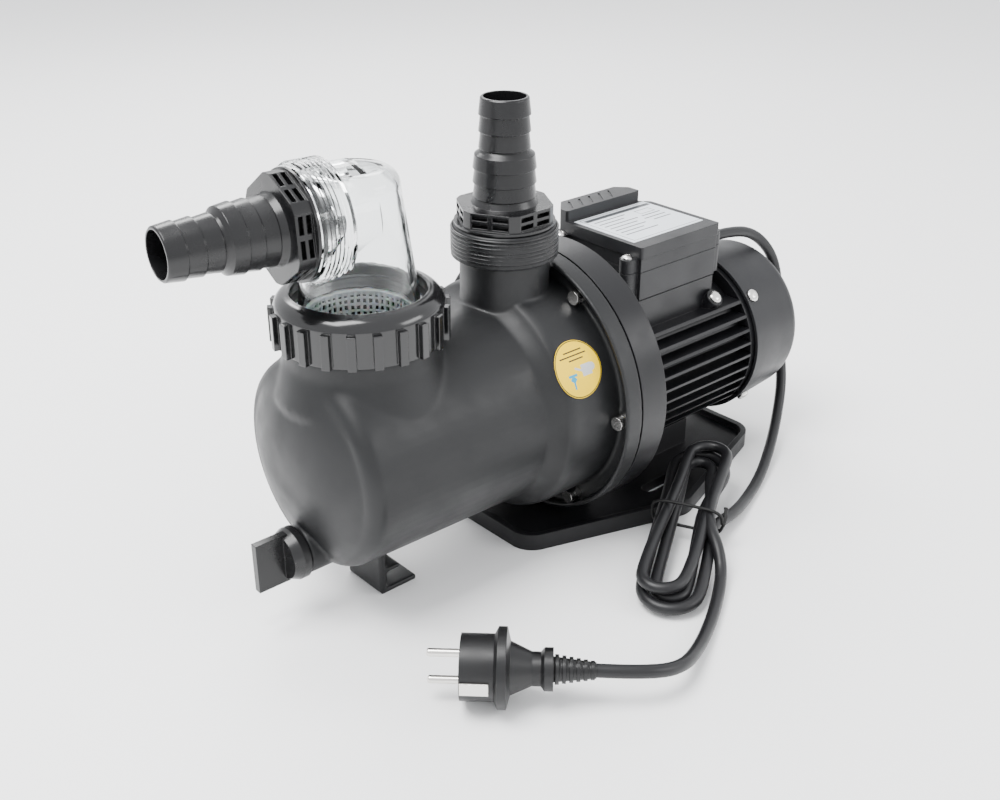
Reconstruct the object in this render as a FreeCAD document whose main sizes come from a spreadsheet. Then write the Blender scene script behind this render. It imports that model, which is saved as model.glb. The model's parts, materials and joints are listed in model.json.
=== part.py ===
import FreeCAD, Part
import Sketcher
import math
import os
from types import SimpleNamespace

# Self-priming pool pump with a strainer pot, a clear elbow lid, two hose nozzles,
# a finned motor on a slotted base plate and a mains lead tied in a hank.
#
# Frame: millimetres, +Z up, the motor towards +X and the strainer towards -X.
# The origin is the centre of the base plate's underside, on the floor.

doc = FreeCAD.newDocument("PoolPump")
sheet = doc.addObject("Spreadsheet::Sheet", "Sizes")

UP = FreeCAD.Rotation()
ALONG_X = FreeCAD.Rotation(FreeCAD.Vector(0, 0, 1), FreeCAD.Vector(1, 0, 0))
ALONG_MINUS_X = FreeCAD.Rotation(FreeCAD.Vector(0, 0, 1), FreeCAD.Vector(-1, 0, 0))

FLANGE_SCREW_COUNT = 6
NUT_RIB_COUNT = 22
SIDE_FIN_COUNT = 9
FAN_BLADE_COUNT = 8
GRILLE_SLOT_COUNT = 20
DIFFUSER_VANE_COUNT = 6
IMPELLER_VANE_COUNT = 6


# ---------------------------------------------------------------- driving sizes

class Size:
    """A length or an angle that knows its number and its spreadsheet expression."""

    def __init__(self, value, text):
        self.value = value
        self.text = text

    def joined(self, other, sign, value, flipped=False):
        other_text = as_size(other).text
        first, second = (other_text, self.text) if flipped else (self.text, other_text)
        return Size(value, "(" + first + " " + sign + " " + second + ")")

    def __add__(self, other):
        return self.joined(other, "+", self.value + number(other))

    def __sub__(self, other):
        return self.joined(other, "-", self.value - number(other))

    def __mul__(self, other):
        return self.joined(other, "*", self.value * number(other))

    def __truediv__(self, other):
        return self.joined(other, "/", self.value / number(other))

    def __radd__(self, other):
        return self.joined(other, "+", number(other) + self.value, True)

    def __rsub__(self, other):
        return self.joined(other, "-", number(other) - self.value, True)

    def __rmul__(self, other):
        return self.joined(other, "*", number(other) * self.value, True)

    def __neg__(self):
        return Size(-self.value, "(0 - " + self.text + ")")


def number(thing):
    return thing.value if isinstance(thing, Size) else float(thing)


def as_size(thing):
    return thing if isinstance(thing, Size) else Size(float(thing), "(" + format(thing, ".9f") + ")")


DRIVING_SIZES = (
    # alias, millimetres or degrees, meaning
    ("casing_axis_height", 101.0, "axis of the barrel and its flange above the floor"),
    ("shaft_height", 89.2, "axis of the motor shaft above the floor"),
    ("fit_gap", 0.3, "gap between pieces that are not fitted to each other"),
    ("running_gap", 0.05, "radial running clearance of a turning fit"),
    ("casing_wall", 4.0, "wall of the moulded casing"),
    ("barrel_radius", 68.4, "outside of the barrel at the hump"),
    ("barrel_draft", 1.6, "how much slimmer the barrel is at the strainer"),
    ("hump_radius", 79.0, "outside of the pump chamber"),
    ("hump_front_x", -125.0, "where the barrel starts to swell"),
    ("hump_rise", 14.0, "length of the swelling"),
    ("hump_back_x", -79.0, "where the chamber wall ends in the flange"),
    ("flange_radius", 92.8, "outside of the clamped flanges"),
    ("flange_front_x", -78.0, "front edge of the casing flange rim"),
    ("recess_floor_x", -70.0, "floor of the ring recess that holds the screws"),
    ("recess_rim", 3.0, "thickness of the rim around that recess"),
    ("parting_x", -64.0, "joint between the casing and the motor bracket"),
    ("bracket_back_x", -41.7, "back of the motor bracket flange"),
    ("flange_screw_circle", 84.6, "pitch radius of the flange screws"),
    ("screw_head_radius", 4.6, "pan head of the casing screws"),
    ("screw_shank_radius", 2.5, "shank of the casing screws"),
    ("partition_x", -131.0, "middle of the wall between suction and pressure side"),
    ("strainer_x", -213.2, "vertical axis of the strainer"),
    ("dome_x", -272.0, "front of the domed end of the barrel"),
    ("gate_radius", 2.5, "small flat left by the mould at the tip of the dome"),
    ("dome_rim_x", -257.5, "where the dome turns into its rounded rim"),
    ("dome_rim_radius", 57.0, "radius of the dome at that rim"),
    ("dome_back_x", -247.0, "where the rounded rim runs into the barrel"),
    ("neck_radius", 47.2, "neck under the union nut"),
    ("neck_bottom", 163.0, "where the flare at the foot of the neck ends"),
    ("neck_flare", 7.0, "how far the foot of the neck flares out"),
    ("neck_top", 186.0, "rim of the pot mouth"),
    ("mouth_radius", 40.0, "inside of the pot mouth"),
    ("neck_thread_radius", 45.2, "crest of the thread on the neck"),
    ("nut_radius", 50.0, "body of the union nut"),
    ("nut_rib_radius", 53.2, "crest of the grip ribs of the nut"),
    ("nut_bottom", 174.6, "lower edge of the nut"),
    ("nut_top", 204.5, "upper edge of the nut"),
    ("nut_opening", 39.8, "radius of the opening in the top of the nut"),
    ("lid_seal_thickness", 3.0, "flat seal under the lid flange"),
    ("lid_flange_thickness", 5.5, "flange of the clear lid"),
    ("basket_rim_thickness", 2.0, "rim of the strainer basket"),
    ("basket_depth", 116.0, "length of the strainer basket"),
    ("basket_top_radius", 34.0, "basket wall below its rim"),
    ("basket_bottom_radius", 29.0, "basket wall at its floor"),
    ("basket_wall", 1.6, "wall of the basket"),
    ("elbow_foot_radius", 35.6, "clear tube just above its flange"),
    ("elbow_top_radius", 26.6, "clear tube below its rounded top"),
    ("elbow_top", 275.5, "highest point of the clear elbow"),
    ("elbow_wall", 2.6, "wall of the clear elbow"),
    ("suction_height", 250.0, "axis of the suction nozzle"),
    ("suction_turn", 4.4, "angle of the suction nozzle off the long axis"),
    ("suction_reach", 38.5, "strainer axis to the seat of the suction nozzle"),
    ("port_thread_radius", 34.4, "crest of the thread rings on both ports"),
    ("port_root_radius", 32.6, "root of those thread rings"),
    ("port_thread_length", 20.8, "length of the ringed stretch of a port"),
    ("port_radius", 28.7, "neck of the discharge port"),
    ("port_top", 218.6, "top face of the discharge port"),
    ("discharge_x", -100.0, "vertical axis of the discharge"),
    ("nozzle_bore", 13.2, "water passage of both hose nozzles"),
    ("nozzle_spigot_radius", 23.5, "spigot of a nozzle inside its port"),
    ("nozzle_spigot_length", 16.0, "length of that spigot"),
    ("nozzle_hex_radius", 31.0, "rounded corners of the nozzle hexagon"),
    ("nozzle_hex_flat", 28.4, "centre to flat of the nozzle hexagon"),
    ("nozzle_hex_height", 13.2, "height of the nozzle hexagon"),
    ("nozzle_shoulder", 46.0, "seat to the step between the two hose sizes"),
    ("nozzle_length", 79.0, "seat to the mouth of a nozzle"),
    ("large_barb_radius", 19.9, "crest for the 38 mm hose"),
    ("small_barb_radius", 16.2, "crest for the 32 mm hose"),
    ("barb_depth", 1.1, "depth of a barb"),
    ("drain_height", 46.5, "axis of the drain plug"),
    ("drain_boss_radius", 15.5, "boss of the drain plug"),
    ("drain_boss_x", -268.0, "face of that boss"),
    ("drain_cap_radius", 16.8, "cap ring of the drain plug"),
    ("drain_thread_radius", 11.0, "thread of the drain plug"),
    ("drain_wing_length", 20.0, "reach of the plug's flat handle"),
    ("drain_wing_height", 33.0, "height of that handle"),
    ("foot_back_x", -193.0, "toe of the front foot"),
    ("foot_front_x", -221.0, "front wall of the front foot"),
    ("foot_half_width", 18.5, "half of the front foot's width"),
    ("foot_wall", 4.5, "wall of the front foot"),
    ("impeller_radius", 48.0, "outside of the impeller"),
    ("impeller_front_x", -104.0, "front shroud of the impeller"),
    ("impeller_thickness", 17.0, "over both shrouds"),
    ("impeller_eye_radius", 16.0, "inlet eye of the impeller"),
    ("diffuser_radius", 58.0, "outside of the diffuser cup"),
    ("diffuser_front_x", -113.0, "front face of the diffuser cup"),
    ("diffuser_back_x", -67.5, "open end of the diffuser cup"),
    ("shaft_radius", 7.5, "bearing seats of the shaft"),
    ("shaft_pump_radius", 6.0, "pump end of the shaft"),
    ("bearing_radius", 17.5, "outside of both ball bearings"),
    ("bearing_width", 11.0, "width of both ball bearings"),
    ("front_bearing_x", -52.0, "front face of the front bearing"),
    ("rear_bearing_x", 88.0, "front face of the rear bearing"),
    ("rotor_radius", 27.5, "outside of the rotor core"),
    ("air_gap", 0.5, "gap between rotor and stator"),
    ("core_front_x", -4.0, "front of the rotor and stator cores"),
    ("core_length", 70.0, "length of both cores"),
    ("core_radius", 46.5, "outside of the stator core"),
    ("housing_radius", 50.0, "root of the housing fins"),
    ("fin_radius", 60.0, "tips of the housing fins"),
    ("fin_pitch", 9.5, "spacing of the housing fins"),
    ("fin_thickness", 2.0, "thickness of a fin"),
    ("housing_front_x", -28.0, "front face of the stator housing"),
    ("housing_rear_x", 89.4, "rear face of the stator housing"),
    ("cover_radius", 62.5, "front rim of the fan cover"),
    ("cover_rear_radius", 59.2, "fan cover at its rear edge"),
    ("cover_front_x", 93.5, "front rim of the fan cover"),
    ("cover_rear_x", 150.0, "back of the fan cover"),
    ("cover_round", 9.0, "rounding of the rear edge of the fan cover"),
    ("cover_wall", 2.2, "wall of the fan cover"),
    ("fan_radius", 52.0, "tips of the cooling fan"),
    ("fan_front_x", 108.0, "front of the cooling fan"),
    ("fan_length", 24.0, "length of the cooling fan"),
    ("box_front_x", -12.0, "front face of the terminal box cover"),
    ("box_rear_x", 68.0, "rear face of the terminal box cover"),
    ("box_near_y", -38.0, "side of the cover that faces -Y"),
    ("box_far_y", 52.0, "side of the cover that faces +Y"),
    ("box_top", 190.0, "recessed top of the cover"),
    ("box_ridge_top", 198.0, "raised far part of the cover"),
    ("box_ridge_y", 33.0, "where that raised part begins"),
    ("box_joint", 172.0, "joint between box and cover"),
    ("box_bottom", 152.0, "underside of the terminal box"),
    ("box_step", 1.2, "how far the skirt and the box stand back"),
    ("box_wall", 2.5, "wall of box and cover"),
    ("plinth_top", 151.0, "top of the housing's mounting pad"),
    ("post_radius", 5.2, "screw posts of the terminal box"),
    ("gland_y", -8.0, "sideways place of the cable gland"),
    ("gland_height", 165.0, "height of the cable gland"),
    ("gland_length", 24.0, "reach of the cable gland"),
    ("gland_radius", 9.0, "dome nut of the cable gland"),
    ("cord_radius", 4.0, "half of the mains lead"),
    ("base_front_x", -120.0, "front edge of the base plate"),
    ("base_rear_x", 120.0, "rear edge of the base plate"),
    ("base_end_half_width", 44.0, "half width at both ends of the base plate"),
    ("base_half_width", 84.0, "half width at the middle of the base plate"),
    ("base_thickness", 7.6, "floor of the base plate"),
    ("base_rim_height", 12.0, "height of the rim around the base plate"),
    ("base_rim_width", 5.0, "width of that rim"),
    ("base_corner", 18.0, "rounding of the base plate corners"),
    ("slot_centre_x", 35.0, "middle of the four slots, along the pump"),
    ("slot_spacing_x", 53.0, "slot to slot along the pump"),
    ("slot_spacing_y", 98.0, "slot to slot across the pump"),
    ("slot_radius", 5.0, "half width of a slot"),
    ("slot_travel", 24.0, "how far a bolt can move in a slot"),
    ("pedestal_front_x", 26.0, "front of the motor pedestal"),
    ("pedestal_length", 44.0, "length of the motor pedestal"),
    ("pedestal_half_width", 20.0, "half width of the motor pedestal"),
    ("pedestal_top", 28.0, "top of the motor pedestal"),
    ("base_screw_y", 20.0, "sideways place of the two screws through the base plate"),
    ("hank_length", 186.0, "tied hank from loop end to loop end"),
    ("hank_width", 46.0, "width of the tied hank"),
    ("hank_thickness", 17.0, "thickness of the tied hank"),
    ("hank_heading", 213.0, "direction of the hank on the floor"),
    ("hank_tilt", 5.4, "slope of the hank over the rim of the base plate"),
    ("plug_collar_radius", 23.0, "grip collar of the plug"),
    ("plug_heading", 135.9, "direction of the plug on the floor"),
)

for row, (alias, millimetres, meaning) in enumerate(DRIVING_SIZES, start=1):
    sheet.set("A" + str(row), meaning)
    sheet.set("B" + str(row), str(millimetres))
    sheet.setAlias("B" + str(row), alias)

S = SimpleNamespace(**{alias: Size(value, "Sizes." + alias) for alias, value, meaning in DRIVING_SIZES})
doc.recompute()


# ---------------------------------------------------------------- building tools

def bind(thing, attribute, amount):
    """Set a property to a number, and tie it to the spreadsheet where it is a Size."""
    setattr(thing, attribute, number(amount))
    if isinstance(amount, Size):
        thing.setExpression(attribute, amount.text)


def put(thing, at, turn=UP):
    """Place a thing: its rotation is fixed, its position follows the spreadsheet."""
    thing.Placement = FreeCAD.Placement(FreeCAD.Vector(*[number(value) for value in at]), turn)
    for letter, value in zip("xyz", at):
        if isinstance(value, Size):
            thing.setExpression("Placement.Base." + letter, value.text)
    return thing


def shifted(at, turn, local):
    """The point that lies at the local offset from a placed frame."""
    point = list(at)
    for column, unit in enumerate((FreeCAD.Vector(1, 0, 0), FreeCAD.Vector(0, 1, 0), FreeCAD.Vector(0, 0, 1))):
        direction = turn.multVec(unit)
        for row_index, share in enumerate((direction.x, direction.y, direction.z)):
            if abs(share) > 1e-9:
                point[row_index] = point[row_index] + local[column] * round(share, 12)
    return tuple(point)


def add(kind, label):
    thing = doc.addObject(kind, label)
    thing.Label = label
    return thing


def rod(label, radius, length, at, turn=UP):
    """A cylinder that starts at a point and runs along the turned Z axis."""
    solid = add("Part::Cylinder", label)
    bind(solid, "Radius", radius)
    bind(solid, "Height", length)
    return put(solid, at, turn)


def cone(label, start_radius, end_radius, length, at, turn=UP):
    solid = add("Part::Cone", label)
    bind(solid, "Radius1", start_radius)
    bind(solid, "Radius2", end_radius)
    bind(solid, "Height", length)
    return put(solid, at, turn)


def block(label, size, centre, turn=UP):
    """A box given by its three sizes and the centre of its lowest face."""
    solid = add("Part::Box", label)
    bind(solid, "Length", size[0])
    bind(solid, "Width", size[1])
    bind(solid, "Height", size[2])
    corner = (size[0] * -0.5, size[1] * -0.5, as_size(0.0))
    return put(solid, shifted(centre, turn, corner), turn)


def o_ring(label, radius, cord, at, turn=UP):
    ring = add("Part::Torus", label)
    bind(ring, "Radius1", radius)
    bind(ring, "Radius2", cord)
    return put(ring, at, turn)


def joined(label, *pieces):
    fusion = add("Part::MultiFuse", label)
    fusion.Shapes = list(pieces)
    return fusion


def group(label, pieces):
    compound = add("Part::Compound", label)
    compound.Links = list(pieces)
    return compound


def cut(label, base, *tools):
    difference = add("Part::Cut", label)
    difference.Base = base
    difference.Tool = tools[0] if len(tools) == 1 else joined(label + "_cutters", *tools)
    return difference


def common(label, first, second):
    overlap = add("Part::MultiCommon", label)
    overlap.Shapes = [first, second]
    return overlap


def plane_of(body, role):
    return next(plane for plane in body.Origin.OriginFeatures if plane.Role == role)


def draw(body, label, outline, plane):
    """A closed sketch through counter-clockwise points (across, up[, arc radius to the next])."""
    sketch = body.newObject("Sketcher::SketchObject", label)
    sketch.AttachmentSupport = (plane_of(body, plane), [""])
    sketch.MapMode = "FlatFace"
    ends = []
    shapes = []
    for index, point in enumerate(outline):
        following = outline[(index + 1) % len(outline)]
        start = FreeCAD.Vector(number(point[0]), number(point[1]), 0)
        finish = FreeCAD.Vector(number(following[0]), number(following[1]), 0)
        if len(point) == 2:
            shapes.append(Part.LineSegment(start, finish))
            ends.append((1, 2))
            continue
        radius = abs(number(point[2]))
        chord = finish - start
        rise = math.sqrt(max(radius ** 2 - chord.Length ** 2 / 4, 0.0))
        side = 1 if number(point[2]) > 0 else -1
        normal = FreeCAD.Vector(-chord.y, chord.x, 0) * (side / chord.Length)
        centre = (start + finish) * 0.5 + normal * rise
        first, last = (start, finish) if side > 0 else (finish, start)
        angles = [math.atan2(end.y - centre.y, end.x - centre.x) for end in (first, last)]
        circle = Part.Circle(centre, FreeCAD.Vector(0, 0, 1), radius)
        shapes.append(Part.ArcOfCircle(circle, angles[0], angles[1]))
        ends.append((1, 2) if side > 0 else (2, 1))
    sketch.addGeometry(shapes, False)
    rules = []
    driven = []
    for index, point in enumerate(outline):
        after = (index + 1) % len(outline)
        rules.append(Sketcher.Constraint("Coincident", index, ends[index][1], after, ends[after][0]))
    for index, point in enumerate(outline):
        for kind, value in (("DistanceX", point[0]), ("DistanceY", point[1])):
            driven.append((len(rules), value))
            rules.append(Sketcher.Constraint(kind, -1, 1, index, ends[index][0], number(value)))
        if len(point) == 3:
            driven.append((len(rules), point[2] if number(point[2]) > 0 else -point[2]))
            rules.append(Sketcher.Constraint("Radius", index, abs(number(point[2]))))
    sketch.addConstraint(rules)
    for place, value in driven:
        if isinstance(value, Size):
            sketch.setExpression("Constraints[" + str(place) + "]", value.text)
    return sketch


def turned(label, outline, at, turn=UP):
    """A lathe-turned solid: an outline of (radius, height) spun about its height axis."""
    body = add("PartDesign::Body", label)
    sketch = draw(body, label + "_outline", outline, "XZ_Plane")
    spin = body.newObject("PartDesign::Revolution", label + "_spin")
    spin.Profile = sketch
    spin.ReferenceAxis = (sketch, ["V_Axis"])
    spin.Angle = 360
    body.Tip = spin
    return put(body, at, turn)


def slab(label, outline, thickness, at, turn=UP, corner=None):
    """A flat plate of an outline, with its upright edges rounded where a corner size is given."""
    body = add("PartDesign::Body", label)
    pad = body.newObject("PartDesign::Pad", label + "_pad")
    pad.Profile = draw(body, label + "_outline", outline, "XY_Plane")
    bind(pad, "Length", thickness)
    body.Tip = pad
    if corner is not None:
        doc.recompute()
        upright = [
            "Edge" + str(index)
            for index, edge in enumerate(pad.Shape.Edges, start=1)
            if abs(edge.tangentAt(edge.FirstParameter).z) > 0.99
        ]
        rounding = body.newObject("PartDesign::Fillet", label + "_corners")
        rounding.Base = (pad, upright)
        bind(rounding, "Radius", corner)
        body.Tip = rounding
    return put(body, at, turn)


def sleeve(label, outer, inner, length, at, turn=UP):
    """A plain ring or tube."""
    outline = ((inner, 0.0), (outer, 0.0), (outer, length), (inner, length))
    return turned(label, outline, at, turn)


def about_x(angle):
    """The turn that aims local Z radially outwards in the YZ plane, at an angle above -Y."""
    lean = math.radians(angle)
    return FreeCAD.Rotation(FreeCAD.Vector(0, 0, 1), FreeCAD.Vector(0, -math.cos(lean), math.sin(lean)))


def around(centre_y, centre_z, radius, angle):
    """The (y, z) of a point on a circle in the YZ plane, at an angle above -Y."""
    lean = math.radians(angle)
    return (centre_y - radius * math.cos(lean), centre_z + radius * math.sin(lean))


def pan_screw(label, head_radius, shank_radius, shank_length, at, turn):
    """A pan-head screw whose head rests at a point and whose shank runs against local Z."""
    head_height = head_radius * 0.62
    outline = (
        (0.0, -shank_length),
        (shank_radius, -shank_length),
        (shank_radius, 0.0),
        (head_radius, 0.0),
        (head_radius, head_height * 0.45, head_radius * 1.1),
        (head_radius * 0.35, head_height),
        (0.0, head_height),
    )
    return turned(label, outline, at, turn)


def ringed(core, crest, start, pitch, count):
    """Outline points of a row of thread rings, going up."""
    points = []
    for index in range(count):
        foot = start + pitch * index
        points.append((core, foot))
        points.append((crest, foot + pitch * 0.3))
        points.append((crest, foot + pitch * 0.6))
        points.append((core, foot + pitch * 0.9))
    return points


NODES = []


def node(thing):
    """Keep a finished piece: its label names its file."""
    NODES.append(thing)
    return thing


# ---------------------------------------------------------------- pump casing

CASING_AXIS = (as_size(0.0), S.casing_axis_height)
SHAFT_AXIS = (as_size(0.0), S.shaft_height)


def on_casing(x):
    return (x, 0.0, S.casing_axis_height)


def on_shaft(x):
    return (x, 0.0, S.shaft_height)


def on_strainer(height):
    return (S.strainer_x, 0.0, height)


def on_discharge(height):
    return (S.discharge_x, 0.0, height)


def dome_outline(inset, front):
    """Outline points of the domed end of the barrel, from the axis to the barrel's side."""
    reach = S.dome_rim_x - S.dome_x
    bulge = (S.dome_rim_radius * S.dome_rim_radius + reach * reach) / (reach * 2)
    return [
        (0.0, S.dome_x + inset - front),
        (S.gate_radius, S.dome_x + inset - front, bulge),
        (S.dome_rim_radius - inset * 0.5, S.dome_rim_x + inset - front, S.dome_back_x - S.dome_rim_x + inset),
        (S.barrel_radius - S.barrel_draft - inset, S.dome_back_x + inset - front),
    ]


def make_pump_casing():
    front = S.strainer_x
    barrel_front_radius = S.barrel_radius - S.barrel_draft
    barrel = turned("casing_barrel", dome_outline(as_size(0.0), front) + [
        (S.barrel_radius, S.hump_front_x - front, -S.hump_rise * 1.6),
        (S.hump_radius - S.casing_wall * 0.5, S.hump_front_x + S.hump_rise * 0.75 - front, S.hump_rise),
        (S.hump_radius, S.hump_front_x + S.hump_rise * 1.3 - front),
        (S.hump_radius, S.parting_x - front),
        (0.0, S.parting_x - front),
    ], on_casing(front), ALONG_X)
    neck = turned("casing_neck", (
        (0.0, S.casing_axis_height),
        (S.neck_radius, S.casing_axis_height),
        (S.neck_radius + S.neck_flare, S.neck_bottom - S.neck_flare * 3),
        (S.neck_radius, S.neck_bottom),
        (S.neck_radius, S.nut_bottom - S.fit_gap * 2),
        (S.neck_thread_radius, S.nut_bottom - S.fit_gap * 2),
        (S.neck_thread_radius, S.neck_top),
        (0.0, S.neck_top),
    ), on_strainer(0.0))
    flange = turned("casing_flange", (
        (S.hump_radius - S.casing_wall, S.recess_floor_x - S.parting_x),
        (S.flange_radius - S.recess_rim, S.recess_floor_x - S.parting_x),
        (S.flange_radius - S.recess_rim, S.flange_front_x - S.parting_x),
        (S.flange_radius, S.flange_front_x - S.parting_x),
        (S.flange_radius, 0.0),
        (S.hump_radius - S.casing_wall, 0.0),
    ), on_casing(S.parting_x), ALONG_X)
    thread_foot = S.port_top - S.port_thread_length
    port = turned("casing_port", [
        (0.0, S.casing_axis_height),
        (S.port_radius, S.casing_axis_height),
        (S.port_radius, thread_foot),
    ] + ringed(S.port_root_radius, S.port_thread_radius, thread_foot, S.port_thread_length / 8, 7) + [
        (S.port_root_radius, S.port_top - S.port_thread_length / 10),
        (S.port_root_radius, S.port_top),
        (0.0, S.port_top),
    ], on_discharge(0.0))
    boss = rod("casing_drain_boss", S.drain_boss_radius, S.dome_back_x - S.drain_boss_x,
               (S.dome_back_x, 0.0, S.drain_height), ALONG_MINUS_X)
    foot_length = S.foot_back_x - S.foot_front_x
    barrel_bottom = S.casing_axis_height - barrel_front_radius
    foot_top = barrel_bottom + S.casing_wall * 0.9
    foot_wall = block("casing_foot_wall", (S.foot_wall, S.foot_half_width * 2, foot_top),
                      (S.foot_front_x + S.foot_wall / 2, 0.0, 0.0))
    foot_web = block("casing_foot_web", (foot_length * 0.55, S.foot_wall, foot_top),
                     (S.foot_front_x + foot_length * 0.275, 0.0, 0.0))
    foot_shelf = block("casing_foot_shelf", (foot_length * 0.55, S.foot_half_width * 2, S.foot_wall * 0.6),
                       (S.foot_front_x + foot_length * 0.275, 0.0, barrel_bottom * 0.45))
    foot_toe = block("casing_foot_toe", (foot_length, S.foot_half_width * 2, S.foot_wall * 0.8),
                     (S.foot_front_x + foot_length / 2, 0.0, 0.0))
    outside = joined("casing_outside", barrel, neck, flange, port, boss, foot_wall, foot_web,
                     foot_shelf, foot_toe)

    wall = S.casing_wall
    duct = turned("casing_duct", dome_outline(wall, front) + [
        (S.barrel_radius - wall, S.partition_x - wall / 2 - front),
        (0.0, S.partition_x - wall / 2 - front),
    ], on_casing(front), ALONG_X)
    mouth = rod("casing_mouth", S.mouth_radius, S.neck_top, on_strainer(S.casing_axis_height))
    chamber = turned("casing_chamber", (
        (0.0, S.partition_x + wall / 2 - S.parting_x),
        (S.barrel_radius - wall, S.partition_x + wall / 2 - S.parting_x),
        (S.barrel_radius - wall, S.hump_front_x + wall - S.parting_x),
        (S.hump_radius - wall, S.hump_front_x + S.hump_rise + wall - S.parting_x),
        (S.hump_radius - wall, 1.0),
        (0.0, 1.0),
    ), on_casing(S.parting_x), ALONG_X)
    snout_hole = rod("casing_snout_hole", S.impeller_eye_radius + wall + S.fit_gap, wall * 3,
                     on_shaft(S.partition_x - wall * 1.5), ALONG_X)
    port_bore = rod("casing_port_bore", S.port_radius - wall - S.fit_gap * 4, S.port_top,
                    on_discharge(S.casing_axis_height))
    spigot_seat = rod("casing_spigot_seat", S.nozzle_spigot_radius + S.running_gap, S.port_top,
                      on_discharge(S.port_top - S.nozzle_spigot_length - S.fit_gap * 4))
    drain_hole = rod("casing_drain_hole", S.drain_thread_radius + S.running_gap, S.drain_boss_radius * 3,
                     (S.drain_boss_x + S.drain_boss_radius * 1.3, 0.0, S.drain_height), ALONG_MINUS_X)
    screw_holes = group("casing_screw_holes", [
        rod("casing_screw_hole_" + str(index), S.screw_shank_radius + S.running_gap, S.flange_radius,
            (S.flange_front_x - S.recess_rim,) + around(*CASING_AXIS, S.flange_screw_circle,
                                                        360 / FLANGE_SCREW_COUNT * index), ALONG_X)
        for index in range(FLANGE_SCREW_COUNT)
    ])
    hollow = cut("casing_hollowed", outside, duct, mouth, chamber, snout_hole, port_bore,
                 spigot_seat, drain_hole)
    return node(cut("pump_casing", hollow, screw_holes))


def make_casing_fasteners():
    shank = S.bracket_back_x - S.recess_floor_x + S.screw_shank_radius * 2
    screws = [
        pan_screw("casing_screw_" + str(index), S.screw_head_radius, S.screw_shank_radius, shank,
                  (S.recess_floor_x,) + around(*CASING_AXIS, S.flange_screw_circle,
                                               360 / FLANGE_SCREW_COUNT * index), ALONG_MINUS_X)
        for index in range(FLANGE_SCREW_COUNT)
    ]
    node(group("casing_screws", screws))


def make_drain_plug():
    cap_x = S.drain_boss_x - S.fit_gap * 4
    stem = turned("drain_plug_stem", (
        (0.0, -S.drain_boss_radius),
        (S.drain_thread_radius, -S.drain_boss_radius),
        (S.drain_thread_radius, 0.0),
        (S.drain_cap_radius, 0.0),
        (S.drain_cap_radius, S.drain_cap_radius * 0.28),
        (S.drain_cap_radius * 0.84, S.drain_cap_radius * 0.62),
        (0.0, S.drain_cap_radius * 0.62),
    ), (cap_x, 0.0, S.drain_height), ALONG_MINUS_X)
    wing_foot = cap_x - S.drain_cap_radius * 0.5
    wing = block("drain_plug_wing", (S.drain_wing_length + S.drain_cap_radius * 0.1, 5.0, S.drain_wing_height),
                 (wing_foot - S.drain_wing_length / 2, 0.0, S.drain_height - S.drain_wing_height / 2))
    node(joined("drain_plug", stem, wing))
    node(sleeve("drain_plug_seal", S.drain_boss_radius - 1.0, S.drain_thread_radius + S.fit_gap,
                S.fit_gap * 3, (S.drain_boss_x - S.fit_gap * 0.5, 0.0, S.drain_height), ALONG_MINUS_X))


# ---------------------------------------------------------------- strainer and lid

LID_SEAL_FOOT = S.neck_top + S.basket_rim_thickness + S.fit_gap * 2
LID_FLANGE_FOOT = LID_SEAL_FOOT + S.lid_seal_thickness
LID_FLANGE_TOP = LID_FLANGE_FOOT + S.lid_flange_thickness
LID_FLANGE_RADIUS = S.neck_thread_radius - 1.0
SUCTION_TURN = FreeCAD.Rotation(
    FreeCAD.Vector(0, 0, 1),
    FreeCAD.Vector(-math.cos(math.radians(S.suction_turn.value)), math.sin(math.radians(S.suction_turn.value)), 0),
)
DISCHARGE_SEAT = on_discharge(S.port_top)
SUCTION_SEAT = shifted(on_strainer(S.suction_height), SUCTION_TURN, (0.0, 0.0, S.suction_reach))


def make_basket():
    rim_foot = S.neck_top + S.fit_gap
    floor = rim_foot - S.basket_depth
    node(turned("strainer_basket", (
        (0.0, floor),
        (S.basket_bottom_radius, floor),
        (S.basket_top_radius, rim_foot),
        (S.mouth_radius + 2.0, rim_foot),
        (S.mouth_radius + 2.0, rim_foot + S.basket_rim_thickness),
        (S.basket_top_radius - S.basket_wall, rim_foot + S.basket_rim_thickness),
        (S.basket_bottom_radius - S.basket_wall, floor + S.basket_wall),
        (0.0, floor + S.basket_wall),
    ), on_strainer(0.0)))


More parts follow.
